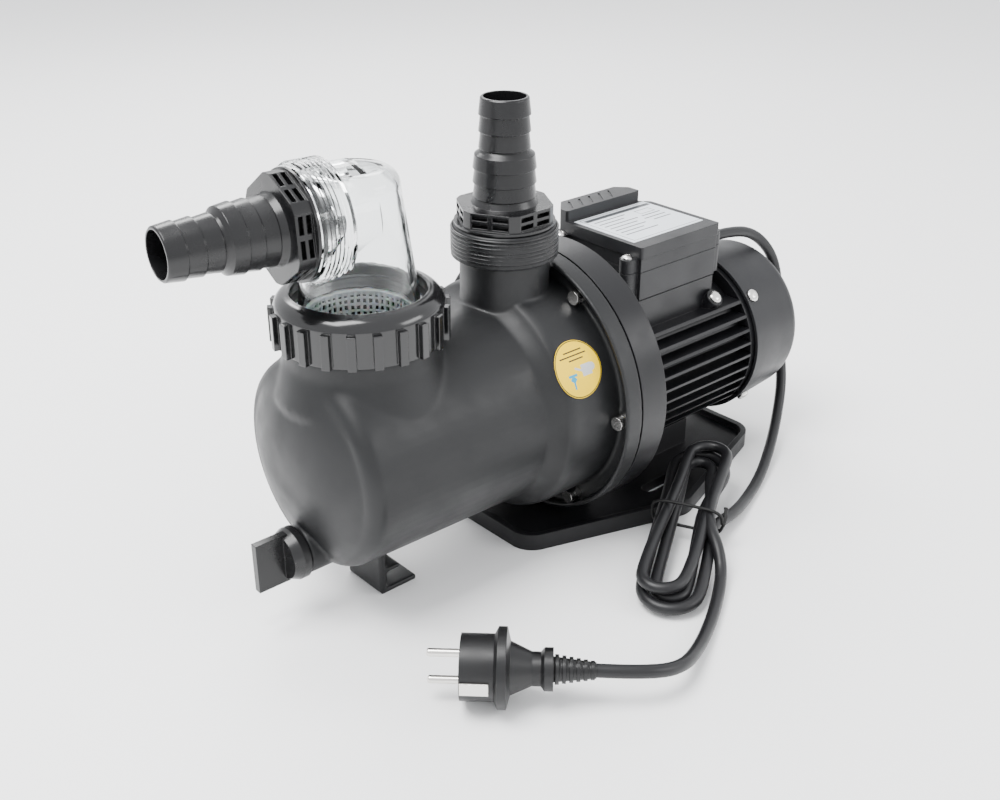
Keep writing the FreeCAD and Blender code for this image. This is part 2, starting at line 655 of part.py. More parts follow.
def make_lid():
    node(sleeve("lid_seal", LID_FLANGE_RADIUS, S.mouth_radius - 2.0, S.lid_seal_thickness - S.fit_gap,
                on_strainer(LID_SEAL_FOOT)))
    round_off = S.elbow_top_radius * 0.35
    shell = turned("elbow_shell", (
        (0.0, LID_FLANGE_FOOT),
        (LID_FLANGE_RADIUS, LID_FLANGE_FOOT),
        (LID_FLANGE_RADIUS, LID_FLANGE_TOP),
        (S.elbow_foot_radius, LID_FLANGE_TOP),
        (S.elbow_top_radius, S.elbow_top - round_off, round_off * 1.05),
        (S.elbow_top_radius - round_off, S.elbow_top),
        (0.0, S.elbow_top),
    ), on_strainer(0.0))
    thread_foot = S.suction_reach - S.port_thread_length
    collar = turned("elbow_collar", [
        (0.0, 0.0),
        (S.port_root_radius - S.elbow_wall, 0.0),
        (S.port_root_radius - S.elbow_wall, thread_foot),
    ] + ringed(S.port_root_radius, S.port_thread_radius, thread_foot, S.port_thread_length / 8, 7) + [
        (S.port_root_radius, S.suction_reach - S.port_thread_length / 10),
        (S.port_root_radius, S.suction_reach),
        (0.0, S.suction_reach),
    ], on_strainer(S.suction_height), SUCTION_TURN)
    inner_top = S.elbow_top - S.elbow_wall
    hollow = turned("elbow_hollow", (
        (0.0, LID_FLANGE_FOOT - 1.0),
        (S.elbow_foot_radius - S.elbow_wall, LID_FLANGE_FOOT - 1.0),
        (S.elbow_top_radius - S.elbow_wall, inner_top - round_off, round_off * 1.05),
        (S.elbow_top_radius - S.elbow_wall - round_off, inner_top),
        (0.0, inner_top),
    ), on_strainer(0.0))
    passage = rod("elbow_passage", S.nozzle_spigot_radius - 2.0, S.suction_reach + 1.0,
                  on_strainer(S.suction_height), SUCTION_TURN)
    seat = rod("elbow_seat", S.nozzle_spigot_radius + S.running_gap,
               S.nozzle_spigot_length + S.fit_gap * 4 + 1.0,
               shifted(SUCTION_SEAT, SUCTION_TURN, (0.0, 0.0, -S.nozzle_spigot_length - S.fit_gap * 4)),
               SUCTION_TURN)
    outside = joined("elbow_outside", shell, collar)
    node(cut("clear_elbow_lid", outside, hollow, passage, seat))


def make_union_nut():
    lip_foot = LID_FLANGE_TOP + S.fit_gap
    thread_radius = S.neck_thread_radius + S.fit_gap
    ring = turned("union_nut_ring", (
        (thread_radius, S.nut_bottom),
        (S.nut_radius, S.nut_bottom),
        (S.nut_radius, S.nut_top - 8.0, 10.0),
        (S.nut_radius - 7.5, S.nut_top - 0.6),
        (S.nut_opening + 1.2, S.nut_top),
        (S.nut_opening, S.nut_top - 1.2),
        (S.nut_opening, lip_foot),
        (thread_radius, lip_foot),
    ), on_strainer(0.0))
    rib_depth = S.nut_rib_radius - S.nut_radius + 2.0
    rib_height = S.nut_top - S.nut_bottom - 9.0
    ribs = []
    for index in range(NUT_RIB_COUNT):
        turn = FreeCAD.Rotation(FreeCAD.Vector(0, 0, 1), 360 / NUT_RIB_COUNT * index)
        centre = shifted(on_strainer(S.nut_bottom), turn, (S.nut_rib_radius - rib_depth / 2, 0.0, 0.0))
        ribs.append(block("union_nut_rib_" + str(index), (rib_depth, 5.0, rib_height), centre, turn))
    node(joined("lid_union_nut", ring, *ribs))


# ---------------------------------------------------------------- hose nozzles

def barbs(foot, crest, pitch, count):
    """Outline points of a row of hose barbs, which face back towards the hexagon."""
    points = []
    for index in range(count):
        points.append((crest - S.barb_depth, foot + pitch * index))
        points.append((crest, foot + pitch * index + 0.6))
    points.append((crest - S.barb_depth, foot + pitch * count))
    return points


def make_nozzle(side, seat, turn):
    """A hose nozzle: spigot, sealing flange, hexagon with cored slots and two barbed barrels."""
    large_foot = S.nozzle_hex_height + 4.0
    large_pitch = (S.nozzle_shoulder - large_foot - 2.0) / 3
    small_pitch = (S.nozzle_length - S.nozzle_shoulder - 2.5) / 3
    tube = turned(side + "_nozzle_tube", [
        (S.nozzle_bore, -S.nozzle_spigot_length),
        (S.nozzle_spigot_radius, -S.nozzle_spigot_length),
        (S.nozzle_spigot_radius, S.fit_gap * 2),
        (S.nozzle_hex_radius + 1.0, S.fit_gap * 2),
        (S.nozzle_hex_radius + 1.0, 2.4),
        (S.large_barb_radius + 1.0, 2.4),
        (S.large_barb_radius + 1.0, S.nozzle_hex_height),
    ] + barbs(large_foot, S.large_barb_radius, large_pitch, 3) + [
        (S.small_barb_radius, S.nozzle_shoulder),
    ] + barbs(S.nozzle_shoulder + 1.5, S.small_barb_radius, small_pitch, 3) + [
        (S.small_barb_radius - S.barb_depth, S.nozzle_length - 0.8),
        (S.small_barb_radius - S.barb_depth - 0.8, S.nozzle_length),
        (S.nozzle_bore, S.nozzle_length),
    ], seat, turn)
    prism = add("Part::Prism", side + "_nozzle_prism")
    prism.Polygon = 6
    bind(prism, "Circumradius", S.nozzle_hex_flat * (2 / math.sqrt(3)))
    bind(prism, "Height", S.nozzle_hex_height - 2.4)
    put(prism, shifted(seat, turn, (0.0, 0.0, 2.4)), turn)
    rounder = rod(side + "_nozzle_rounder", S.nozzle_hex_radius, S.nozzle_hex_height, seat, turn)
    hexagon = common(side + "_nozzle_hexagon", prism, rounder)
    slots = []
    for index in range(6):
        face_turn = turn.multiply(FreeCAD.Rotation(FreeCAD.Vector(0, 0, 1), 60 * index + 30))
        for column in (-1, 1):
            for row_height in (3.8, 8.6):
                centre = shifted(seat, face_turn, (S.nozzle_hex_flat - 1.5, column * 6.6, row_height))
                name = side + "_nozzle_slot_" + str(len(slots))
                slots.append(block(name, (7.0, 10.0, 2.8), centre, face_turn))
    cored = cut(side + "_nozzle_cored", hexagon, group(side + "_nozzle_slots", slots),
                rod(side + "_nozzle_core", S.nozzle_bore + 1.0, S.nozzle_hex_height, seat, turn))
    node(joined(side + "_hose_nozzle", tube, cored))
    node(o_ring(side + "_nozzle_seal", S.nozzle_spigot_radius + 2.2, S.fit_gap * 0.9,
                shifted(seat, turn, (0.0, 0.0, S.fit_gap)), turn))


# ---------------------------------------------------------------- wet end

def make_wet_end():
    impeller_back = S.impeller_front_x + S.impeller_thickness
    shroud = 3.0
    snout_inner = S.impeller_eye_radius
    snout = turned("diffuser_cup", (
        (snout_inner, S.partition_x - S.casing_wall - S.diffuser_front_x),
        (snout_inner + S.casing_wall - S.running_gap, S.partition_x - S.casing_wall - S.diffuser_front_x),
        (snout_inner + S.casing_wall - S.running_gap, 0.0),
        (S.diffuser_radius, 0.0),
        (S.diffuser_radius, S.diffuser_back_x - S.diffuser_front_x),
        (S.diffuser_radius - shroud, S.diffuser_back_x - S.diffuser_front_x),
        (S.diffuser_radius - shroud, shroud),
        (snout_inner, shroud),
    ), on_shaft(S.diffuser_front_x), ALONG_X)
    windows = []
    for index in range(DIFFUSER_VANE_COUNT):
        angle = 360 / DIFFUSER_VANE_COUNT * index + 30
        windows.append(block("diffuser_window_" + str(index), (14.0, 20.0, 12.0),
                             (impeller_back + 8.0,) + around(*SHAFT_AXIS, S.diffuser_radius - 8.0, angle),
                             about_x(angle)))
    node(cut("diffuser", snout, group("diffuser_windows", windows)))

    hub_radius = S.shaft_pump_radius + 5.0
    front_shroud = sleeve("impeller_front", S.impeller_radius, S.impeller_eye_radius, shroud,
                          on_shaft(S.impeller_front_x), ALONG_X)
    back_shroud = sleeve("impeller_back", S.impeller_radius, S.shaft_pump_radius, shroud,
                         on_shaft(impeller_back - shroud), ALONG_X)
    hub = sleeve("impeller_hub", hub_radius, S.shaft_pump_radius, S.impeller_thickness,
                 on_shaft(S.impeller_front_x), ALONG_X)
    vanes = []
    vane_length = S.impeller_radius - S.impeller_eye_radius - 1.0
    for index in range(IMPELLER_VANE_COUNT):
        angle = 360 / IMPELLER_VANE_COUNT * index
        sweep = math.radians(angle + 35)
        turn = FreeCAD.Rotation(FreeCAD.Vector(0, 0, 1), FreeCAD.Vector(0, -math.cos(sweep), math.sin(sweep)))
        foot = (S.impeller_front_x + S.impeller_thickness / 2,) + around(*SHAFT_AXIS,
                                                                         S.impeller_eye_radius + 2.0, angle)
        vanes.append(block("impeller_vane_" + str(index), (S.impeller_thickness - shroud, 2.0, vane_length * 0.8),
                           foot, turn))
    node(joined("impeller", front_shroud, back_shroud, hub, *vanes))
    node(turned("impeller_nut", (
        (S.shaft_pump_radius - 1.5, -9.0),
        (S.shaft_pump_radius + 3.0, -7.0),
        (S.shaft_pump_radius + 3.0, 0.0),
        (S.shaft_pump_radius - 1.5, 0.0),
    ), on_shaft(S.impeller_front_x), ALONG_X))
    node(sleeve("seal_rotating_ring", S.shaft_pump_radius + 6.0, S.shaft_pump_radius, 10.0,
                on_shaft(impeller_back), ALONG_X))
    seat_x = impeller_back + 10.0 + S.fit_gap
    node(sleeve("seal_seat", S.shaft_pump_radius + 7.0, S.shaft_pump_radius + S.fit_gap * 2, 9.0,
                on_shaft(seat_x), ALONG_X))
    return seat_x


def make_bracket(seat_x):
    seat_radius = S.shaft_pump_radius + 7.0
    flange = rod("bracket_flange", S.flange_radius, S.bracket_back_x - S.parting_x - S.fit_gap,
                 on_casing(S.parting_x + S.fit_gap), ALONG_X)
    spigot = rod("bracket_spigot", S.hump_radius - S.casing_wall - S.fit_gap, 3.0,
                 on_casing(S.parting_x + S.fit_gap - 3.0), ALONG_X)
    hub = rod("bracket_hub", S.housing_radius, S.housing_front_x - S.bracket_back_x,
              on_shaft(S.bracket_back_x), ALONG_X)
    seal_boss = rod("bracket_seal_boss", seat_radius + 3.0, S.parting_x - seat_x,
                    on_shaft(seat_x), ALONG_X)
    foot_height = S.casing_axis_height - S.flange_radius + 14.0 - S.base_thickness
    foot = block("bracket_foot", (S.bracket_back_x - S.parting_x - 3.0, 56.0, foot_height),
                 (S.parting_x / 2 + S.bracket_back_x / 2, 0.0, S.base_thickness + S.fit_gap))
    seat_bore = rod("bracket_seat_bore", seat_radius, 9.0 + 0.01, on_shaft(seat_x - 0.01), ALONG_X)
    shaft_bore = rod("bracket_shaft_bore", S.shaft_radius + 1.0, S.flange_radius,
                     on_shaft(seat_x - 1.0), ALONG_X)
    bearing_bore = rod("bracket_bearing_bore", S.bearing_radius, S.flange_radius,
                       on_shaft(S.front_bearing_x), ALONG_X)
    motor_bore = rod("bracket_motor_bore", S.core_radius - 5.0, S.flange_radius,
                     on_shaft(S.front_bearing_x + S.bearing_width), ALONG_X)
    screw_holes = group("bracket_screw_holes", [
        rod("bracket_screw_hole_" + str(index), S.screw_shank_radius + S.running_gap, S.flange_radius,
            (S.parting_x - 8.0,) + around(*CASING_AXIS, S.flange_screw_circle,
                                          360 / FLANGE_SCREW_COUNT * index), ALONG_X)
        for index in range(FLANGE_SCREW_COUNT)
    ])
    foot_holes = group("bracket_foot_holes", [
        rod("bracket_foot_hole_" + name, S.screw_shank_radius + S.running_gap, 12.0,
            (S.parting_x / 2 + S.bracket_back_x / 2, S.base_screw_y * side, 0.0))
        for side, name in ((-1, "near"), (1, "far"))
    ])
    solid = joined("bracket_solid", flange, spigot, hub, seal_boss, foot)
    bored = cut("bracket_bored", solid, seat_bore, shaft_bore, bearing_bore, motor_bore)
    node(cut("motor_bracket", bored, screw_holes, foot_holes))
    node(o_ring("casing_seal", S.hump_radius + 2.2, S.fit_gap * 0.45, on_casing(S.parting_x + S.fit_gap / 2),
                ALONG_X))


# ---------------------------------------------------------------- motor

def make_bearing(label, x):
    """A ball bearing drawn as one ring, with a groove between its races on both faces."""
    inner_race = S.shaft_radius + (S.bearing_radius - S.shaft_radius) * 0.3
    outer_race = S.shaft_radius + (S.bearing_radius - S.shaft_radius) * 0.7
    node(turned(label, (
        (S.shaft_radius + S.running_gap, 0.0),
        (inner_race, 0.0),
        (inner_race, 1.0),
        (outer_race, 1.0),
        (outer_race, 0.0),
        (S.bearing_radius, 0.0),
        (S.bearing_radius, S.bearing_width),
        (outer_race, S.bearing_width),
        (outer_race, S.bearing_width - 1.0),
        (inner_race, S.bearing_width - 1.0),
        (inner_race, S.bearing_width),
        (S.shaft_radius + S.running_gap, S.bearing_width),
    ), on_shaft(x), ALONG_X))


def make_motor():
    shaft_tip = S.impeller_front_x - 8.0
    journal_x = S.front_bearing_x - 6.0
    fan_end = S.fan_front_x + S.fan_length
    node(turned("motor_shaft", (
        (0.0, 0.0),
        (S.shaft_pump_radius - 1.5, 0.0),
        (S.shaft_pump_radius - 1.5, S.impeller_front_x - shaft_tip),
        (S.shaft_pump_radius, S.impeller_front_x - shaft_tip),
        (S.shaft_pump_radius, journal_x - shaft_tip),
        (S.shaft_radius, journal_x - shaft_tip),
        (S.shaft_radius, fan_end - shaft_tip),
        (0.0, fan_end - shaft_tip),
    ), on_shaft(shaft_tip), ALONG_X))
    make_bearing("front_bearing", S.front_bearing_x)
    make_bearing("rear_bearing", S.rear_bearing_x)
    node(sleeve("rotor_core", S.rotor_radius, S.shaft_radius, S.core_length, on_shaft(S.core_front_x), ALONG_X))
    stator_bore = S.rotor_radius + S.air_gap
    node(sleeve("stator_core", S.core_radius, stator_bore, S.core_length, on_shaft(S.core_front_x), ALONG_X))
    winding_length = 15.0
    windings = [
        turned("winding_" + name, (
            (stator_bore + 4.0, 0.0),
            (S.core_radius - 3.0, 0.0),
            (S.core_radius - 5.0, winding_length),
            (stator_bore + 6.0, winding_length),
        ), on_shaft(x), turn)
        for name, x, turn in (
            ("front", S.core_front_x, ALONG_MINUS_X),
            ("rear", S.core_front_x + S.core_length, ALONG_X),
        )
    ]
    node(group("stator_windings", windings))

    housing_length = S.housing_rear_x - S.housing_front_x
    fins = []
    for side in (-1, 1):
        for index in range(SIDE_FIN_COUNT):
            level = index - (SIDE_FIN_COUNT - 1) / 2
            fins.append(block("housing_fin_" + str(len(fins)), (housing_length - 4.0, S.fin_radius, S.fin_thickness),
                              (S.housing_rear_x - housing_length / 2 + 2.0, S.fin_radius * (side * 0.5),
                               S.shaft_height + S.fin_pitch * level - S.fin_thickness / 2)))
    for index in range(5):
        fins.append(block("housing_low_fin_" + str(index), (housing_length - 4.0, S.fin_thickness, S.fin_radius),
                          (S.housing_rear_x - housing_length / 2 + 2.0, S.fin_pitch * (index - 2),
                           S.shaft_height - S.fin_radius)))
    fin_limit = rod("housing_fin_limit", S.fin_radius, housing_length, on_shaft(S.housing_front_x), ALONG_X)
    fin_set = common("housing_fins", joined("housing_fin_boxes", *fins), fin_limit)
    tube = rod("housing_tube", S.housing_radius, housing_length, on_shaft(S.housing_front_x), ALONG_X)
    plinth_length = S.box_rear_x - S.box_front_x - 2.0
    plinth = block("housing_plinth", (plinth_length, 72.0, S.plinth_top - S.shaft_height),
                   (S.box_front_x + 1.0 + plinth_length / 2, 0.0, S.shaft_height))
    saddle_foot = S.pedestal_top + S.fit_gap
    saddle = block("housing_saddle", (S.pedestal_length, S.pedestal_half_width * 2 - 6.0,
                                      S.shaft_height - S.core_radius - 2.0 - saddle_foot),
                   (S.pedestal_front_x + S.pedestal_length / 2, 0.0, saddle_foot))
    lug = rod("housing_screw_lug", 6.5, 12.0, (S.box_rear_x - 4.0,) + around(*SHAFT_AXIS, 51.0, 48.0),
              about_x(48.0))
    bore = rod("housing_bore", S.core_radius, S.fin_radius * 4, on_shaft(S.housing_front_x - 1.0), ALONG_X)
    wire_hole = rod("housing_wire_hole", 8.0, S.fin_radius, (S.core_front_x + S.core_length + 6.0, 0.0, S.shaft_height))
    lug_hole = rod("housing_lug_hole", S.screw_shank_radius + S.running_gap, 30.0,
                   (S.box_rear_x - 4.0,) + around(*SHAFT_AXIS, 40.0, 48.0), about_x(48.0))
    solid = joined("housing_solid", tube, fin_set, plinth, saddle, lug)
    node(cut("stator_housing", solid, bore, wire_hole, lug_hole))
    node(pan_screw("housing_clamp_screw", S.screw_head_radius, S.screw_shank_radius, 14.0,
                   (S.box_rear_x - 4.0,) + around(*SHAFT_AXIS, 63.0, 48.0), about_x(48.0)))


def make_rear_end():
    shield_x = S.housing_rear_x + S.fit_gap
    plug_radius = S.core_radius - S.fit_gap
    shield = turned("end_shield_solid", (
        (S.bearing_radius, S.rear_bearing_x - shield_x),
        (S.bearing_radius + 4.0, S.rear_bearing_x - shield_x),
        (S.bearing_radius + 4.0, 0.0),
        (S.cover_radius - S.cover_wall - S.fit_gap * 4, 0.0),
        (S.cover_radius - S.cover_wall - S.fit_gap * 4, 12.0),
        (plug_radius, 12.0),
        (plug_radius, 5.0),
        (S.bearing_radius + 4.0, 5.0),
        (S.bearing_radius + 4.0, 11.0),
        (S.shaft_radius + 1.5, 11.0),
        (S.shaft_radius + 1.5, S.rear_bearing_x + S.bearing_width + S.fit_gap - shield_x),
        (S.bearing_radius, S.rear_bearing_x + S.bearing_width + S.fit_gap - shield_x),
    ), on_shaft(shield_x), ALONG_X)
    screw_angles = (40.0, 140.0, 220.0, 320.0)
    screw_x = S.cover_front_x + 6.5
    pilot_holes = group("end_shield_pilots", [
        rod("end_shield_pilot_" + str(index), S.screw_shank_radius * 0.8, 12.0,
            (screw_x,) + around(*SHAFT_AXIS, S.cover_radius - 9.0, angle), about_x(angle))
        for index, angle in enumerate(screw_angles)
    ])
    clamp_holes = group("end_shield_clamp_holes", [
        rod("end_shield_clamp_hole_" + str(index), S.screw_shank_radius, 20.0,
            (shield_x - 5.0,) + around(*SHAFT_AXIS, S.core_radius + 7.0, angle), ALONG_X)
        for index, angle in enumerate((10.0, 100.0, 190.0, 280.0))
    ])
    node(cut("rear_end_shield", shield, pilot_holes, clamp_holes))
    node(group("end_shield_screws", [
        pan_screw("end_shield_screw_" + str(index), S.screw_head_radius * 0.8, S.screw_shank_radius - 0.02, 11.5,
                  (shield_x + 12.0,) + around(*SHAFT_AXIS, S.core_radius + 7.0, angle), ALONG_X)
        for index, angle in enumerate((10.0, 100.0, 190.0, 280.0))
    ]))

    fan_hub = sleeve("fan_hub", S.shaft_radius + 6.0, S.shaft_radius, S.fan_length, on_shaft(S.fan_front_x), ALONG_X)
    fan_disc = sleeve("fan_disc", S.fan_radius, S.shaft_radius, 2.5, on_shaft(S.fan_front_x), ALONG_X)
    blades = [
        block("fan_blade_" + str(index), (S.fan_length, 2.2, S.fan_radius - S.shaft_radius - 4.0),
              (S.fan_front_x + S.fan_length / 2,) + around(*SHAFT_AXIS, S.shaft_radius + 3.0,
                                                           360 / FAN_BLADE_COUNT * index),
              about_x(360 / FAN_BLADE_COUNT * index))
        for index in range(FAN_BLADE_COUNT)
    ]
    node(joined("cooling_fan", fan_hub, fan_disc, *blades))

    cover_length = S.cover_rear_x - S.cover_front_x
    shell = turned("fan_cover_shell", (
        (S.cover_radius - S.cover_wall, 0.0),
        (S.cover_radius, 0.0),
        (S.cover_rear_radius, cover_length - S.cover_round, S.cover_round * 1.15),
        (S.cover_rear_radius - S.cover_round, cover_length),
        (0.0, cover_length),
        (0.0, cover_length - S.cover_wall),
        (S.cover_rear_radius - S.cover_round, cover_length - S.cover_wall, -(S.cover_round - S.cover_wall) * 1.35),
        (S.cover_rear_radius - S.cover_wall, cover_length - S.cover_round),
    ), on_shaft(S.cover_front_x), ALONG_X)
    grille = [
        block("grille_slot_" + str(index), (S.cover_wall * 4, 3.2, S.fan_radius * 0.55),
              (S.cover_rear_x,) + around(*SHAFT_AXIS, S.fan_radius * 0.32, 360 / GRILLE_SLOT_COUNT * index),
              about_x(360 / GRILLE_SLOT_COUNT * index))
        for index in range(GRILLE_SLOT_COUNT)
    ]
    screw_holes = [
        rod("cover_screw_hole_" + str(index), S.screw_shank_radius * 0.8 + S.running_gap, 12.0,
            (screw_x,) + around(*SHAFT_AXIS, S.cover_radius - 9.0, angle), about_x(angle))
        for index, angle in enumerate(screw_angles)
    ]
    node(cut("fan_cover", shell, group("fan_cover_openings", grille + screw_holes)))
    node(group("fan_cover_screws", [
        pan_screw("fan_cover_screw_" + str(index), S.screw_head_radius, S.screw_shank_radius * 0.8 - 0.02, 8.0,
                  (screw_x,) + around(*SHAFT_AXIS, S.cover_radius + S.fit_gap * 0.2, angle), about_x(angle))
        for index, angle in enumerate(screw_angles)
    ]))


# ---------------------------------------------------------------- terminal box

BOX_LENGTH = S.box_rear_x - S.box_front_x
BOX_MIDDLE_X = S.box_front_x + BOX_LENGTH / 2
BOX_FAR_WALL = S.box_far_y - 6.0
BOX_WIDTH = BOX_FAR_WALL - S.box_near_y
BOX_MIDDLE_Y = S.box_near_y + BOX_WIDTH / 2
BOX_POSTS = tuple(
    (x, y)
    for x in (S.box_front_x - S.post_radius + S.box_step, S.box_rear_x + S.post_radius - S.box_step)
    for y in (S.box_near_y + 9.0, BOX_FAR_WALL - 9.0)
)
COVER_LEDGE = S.box_top - 8.5


def screw_posts(owner, foot, height):
    """Four round posts beside the box, each tied to its wall by a short block."""
    pieces = []
    for index, (place, inward) in enumerate(zip(BOX_POSTS, (0.8, 0.8, -0.8, -0.8))):
        name = owner + "_post_" + str(index)
        pieces.append(rod(name, S.post_radius, height, place + (foot,)))
        pieces.append(block(name + "_tie", (S.post_radius * 1.6, S.post_radius * 2, height),
                            (place[0] + S.post_radius * inward, place[1], foot)))
    return pieces


def make_terminal_box():
    step = S.box_step
    box_height = S.box_joint - S.box_bottom - S.fit_gap
    body = block("box_body", (BOX_LENGTH - step * 2, BOX_WIDTH - step * 2, box_height),
                 (BOX_MIDDLE_X, BOX_MIDDLE_Y, S.box_bottom))
    posts = screw_posts("box", S.box_bottom, box_height)
    inside = block("box_inside", (BOX_LENGTH - (step + S.box_wall) * 2, BOX_WIDTH - (step + S.box_wall) * 2,
                                  box_height), (BOX_MIDDLE_X, BOX_MIDDLE_Y, S.box_bottom + S.box_wall))
    wire_hole = rod("box_wire_hole", 8.0, 20.0, (S.core_front_x + S.core_length - 12.0, 0.0, S.box_bottom - 5.0))
    gland_hole = rod("box_gland_hole", S.gland_radius - 2.5 + S.running_gap, 14.0,
                     (S.box_rear_x - 9.0, S.gland_y, S.gland_height), ALONG_X)
    post_holes = group("box_post_holes", [
        rod("box_post_hole_" + str(index), S.screw_shank_radius * 0.8, 16.0, place + (S.box_joint - 14.0,))
        for index, place in enumerate(BOX_POSTS)
    ])
    solid = joined("box_solid", body, *posts)
    trimmed = cut("box_hollowed", solid, inside, wire_hole, gland_hole)
    node(cut("terminal_box", trimmed, post_holes))

    gasket_outer = block("gasket_outer", (BOX_LENGTH - step * 2 - 1.0, BOX_WIDTH - step * 2 - 1.0, S.fit_gap),
                         (BOX_MIDDLE_X, BOX_MIDDLE_Y, S.box_joint - S.fit_gap))
    gasket_inner = block("gasket_inner", (BOX_LENGTH - (step + S.box_wall) * 2, BOX_WIDTH - (step + S.box_wall) * 2,
                                          2.0), (BOX_MIDDLE_X, BOX_MIDDLE_Y, S.box_joint - 1.0))
    node(cut("terminal_box_gasket", gasket_outer, gasket_inner))


def make_terminal_cover():
    step = S.box_step
    skirt = block("cover_skirt", (BOX_LENGTH - step * 2, BOX_WIDTH - step * 2, COVER_LEDGE - S.box_joint),
                  (BOX_MIDDLE_X, BOX_MIDDLE_Y, S.box_joint))
    top = slab("cover_top", (
        (S.box_front_x, S.box_near_y),
        (S.box_rear_x, S.box_near_y),
        (S.box_rear_x, S.box_ridge_y - 6.0),
        (S.box_rear_x - 6.0, S.box_ridge_y),
        (S.box_rear_x - 6.0, S.box_far_y - 8.0),
        (S.box_rear_x - 14.0, S.box_far_y),
        (S.box_front_x + 12.0, S.box_far_y),
        (S.box_front_x, S.box_far_y - 12.0),
    ), S.box_top - COVER_LEDGE, (0.0, 0.0, COVER_LEDGE), UP, 2.0)
    ridge = slab("cover_ridge", (
        (S.box_front_x, S.box_ridge_y),
        (S.box_rear_x - 6.0, S.box_ridge_y),
        (S.box_rear_x - 6.0, S.box_far_y - 8.0),
        (S.box_rear_x - 14.0, S.box_far_y),
        (S.box_front_x + 12.0, S.box_far_y),
        (S.box_front_x, S.box_far_y - 12.0),
    ), S.box_ridge_top - COVER_LEDGE, (0.0, 0.0, COVER_LEDGE), UP, 2.0)
    posts = screw_posts("cover", S.box_joint, COVER_LEDGE - S.box_joint)
    inside = block("cover_inside", (BOX_LENGTH - (step + S.box_wall) * 2, BOX_WIDTH - (step + S.box_wall) * 2,
                                    S.box_top - S.box_wall - S.box_joint + 1.0),
                   (BOX_MIDDLE_X, BOX_MIDDLE_Y, S.box_joint - 1.0))
    post_holes = group("cover_post_holes", [
        rod("cover_post_hole_" + str(index), S.screw_shank_radius * 0.8 + S.running_gap, 40.0,
            place + (S.box_joint - 1.0,))
        for index, place in enumerate(BOX_POSTS)
    ])
    ridge_grooves = group("cover_grooves", [
        block("cover_groove_" + str(index), (1.6, 15.0, 4.0),
              (S.box_front_x + 12.0 + 10.0 * index, S.box_ridge_y + 9.0, S.box_ridge_top - 0.8),
              FreeCAD.Rotation(FreeCAD.Vector(0, 0, 1), -35))
        for index in range(5)
    ])
    label_seat = block("cover_label_seat", (BOX_LENGTH - 8.0, 58.0, 2.0),
                       (BOX_MIDDLE_X, S.box_ridge_y - 31.0, S.box_top - 0.5))
    solid = joined("cover_solid", skirt, top, ridge, *posts)
    hollowed = cut("cover_hollowed", solid, inside)
    node(cut("terminal_box_cover", hollowed, post_holes, ridge_grooves, label_seat))
    node(block("rating_label", (BOX_LENGTH - 9.0, 57.0, 0.45),
               (BOX_MIDDLE_X, S.box_ridge_y - 31.0, S.box_top - 0.5)))
    node(group("terminal_box_screws", [
        pan_screw("terminal_box_screw_" + str(index), 3.4, S.screw_shank_radius * 0.8 - 0.02, 18.0,
                  place + (COVER_LEDGE,), UP)
        for index, place in enumerate(BOX_POSTS)
    ]))
    floor = S.box_bottom + S.box_wall
    node(block("terminal_block", (40.0, 14.0, 12.0), (BOX_MIDDLE_X, S.box_near_y + 16.0, floor)))
    node(rod("run_capacitor", 13.0, 58.0, (BOX_MIDDLE_X - 29.0, BOX_FAR_WALL - 20.0, floor + 13.2), ALONG_X))


def make_cable_gland():
    wall_face = S.box_rear_x - S.box_step
    neck = S.gland_radius - 2.5
    node(turned("cable_gland", (
        (0.0, -8.0),
        (neck, -8.0),
        (neck, S.fit_gap),
        (S.gland_radius, S.fit_gap),
        (S.gland_radius, 5.5),
        (S.gland_radius - 1.0, 6.5),
        (S.gland_radius, 7.5),
        (S.gland_radius, S.gland_length * 0.7, S.gland_radius),
        (S.cord_radius + 1.2, S.gland_length),
        (0.0, S.gland_length),
    ), (wall_face, S.gland_y, S.gland_height), ALONG_X))


# ---------------------------------------------------------------- base plate

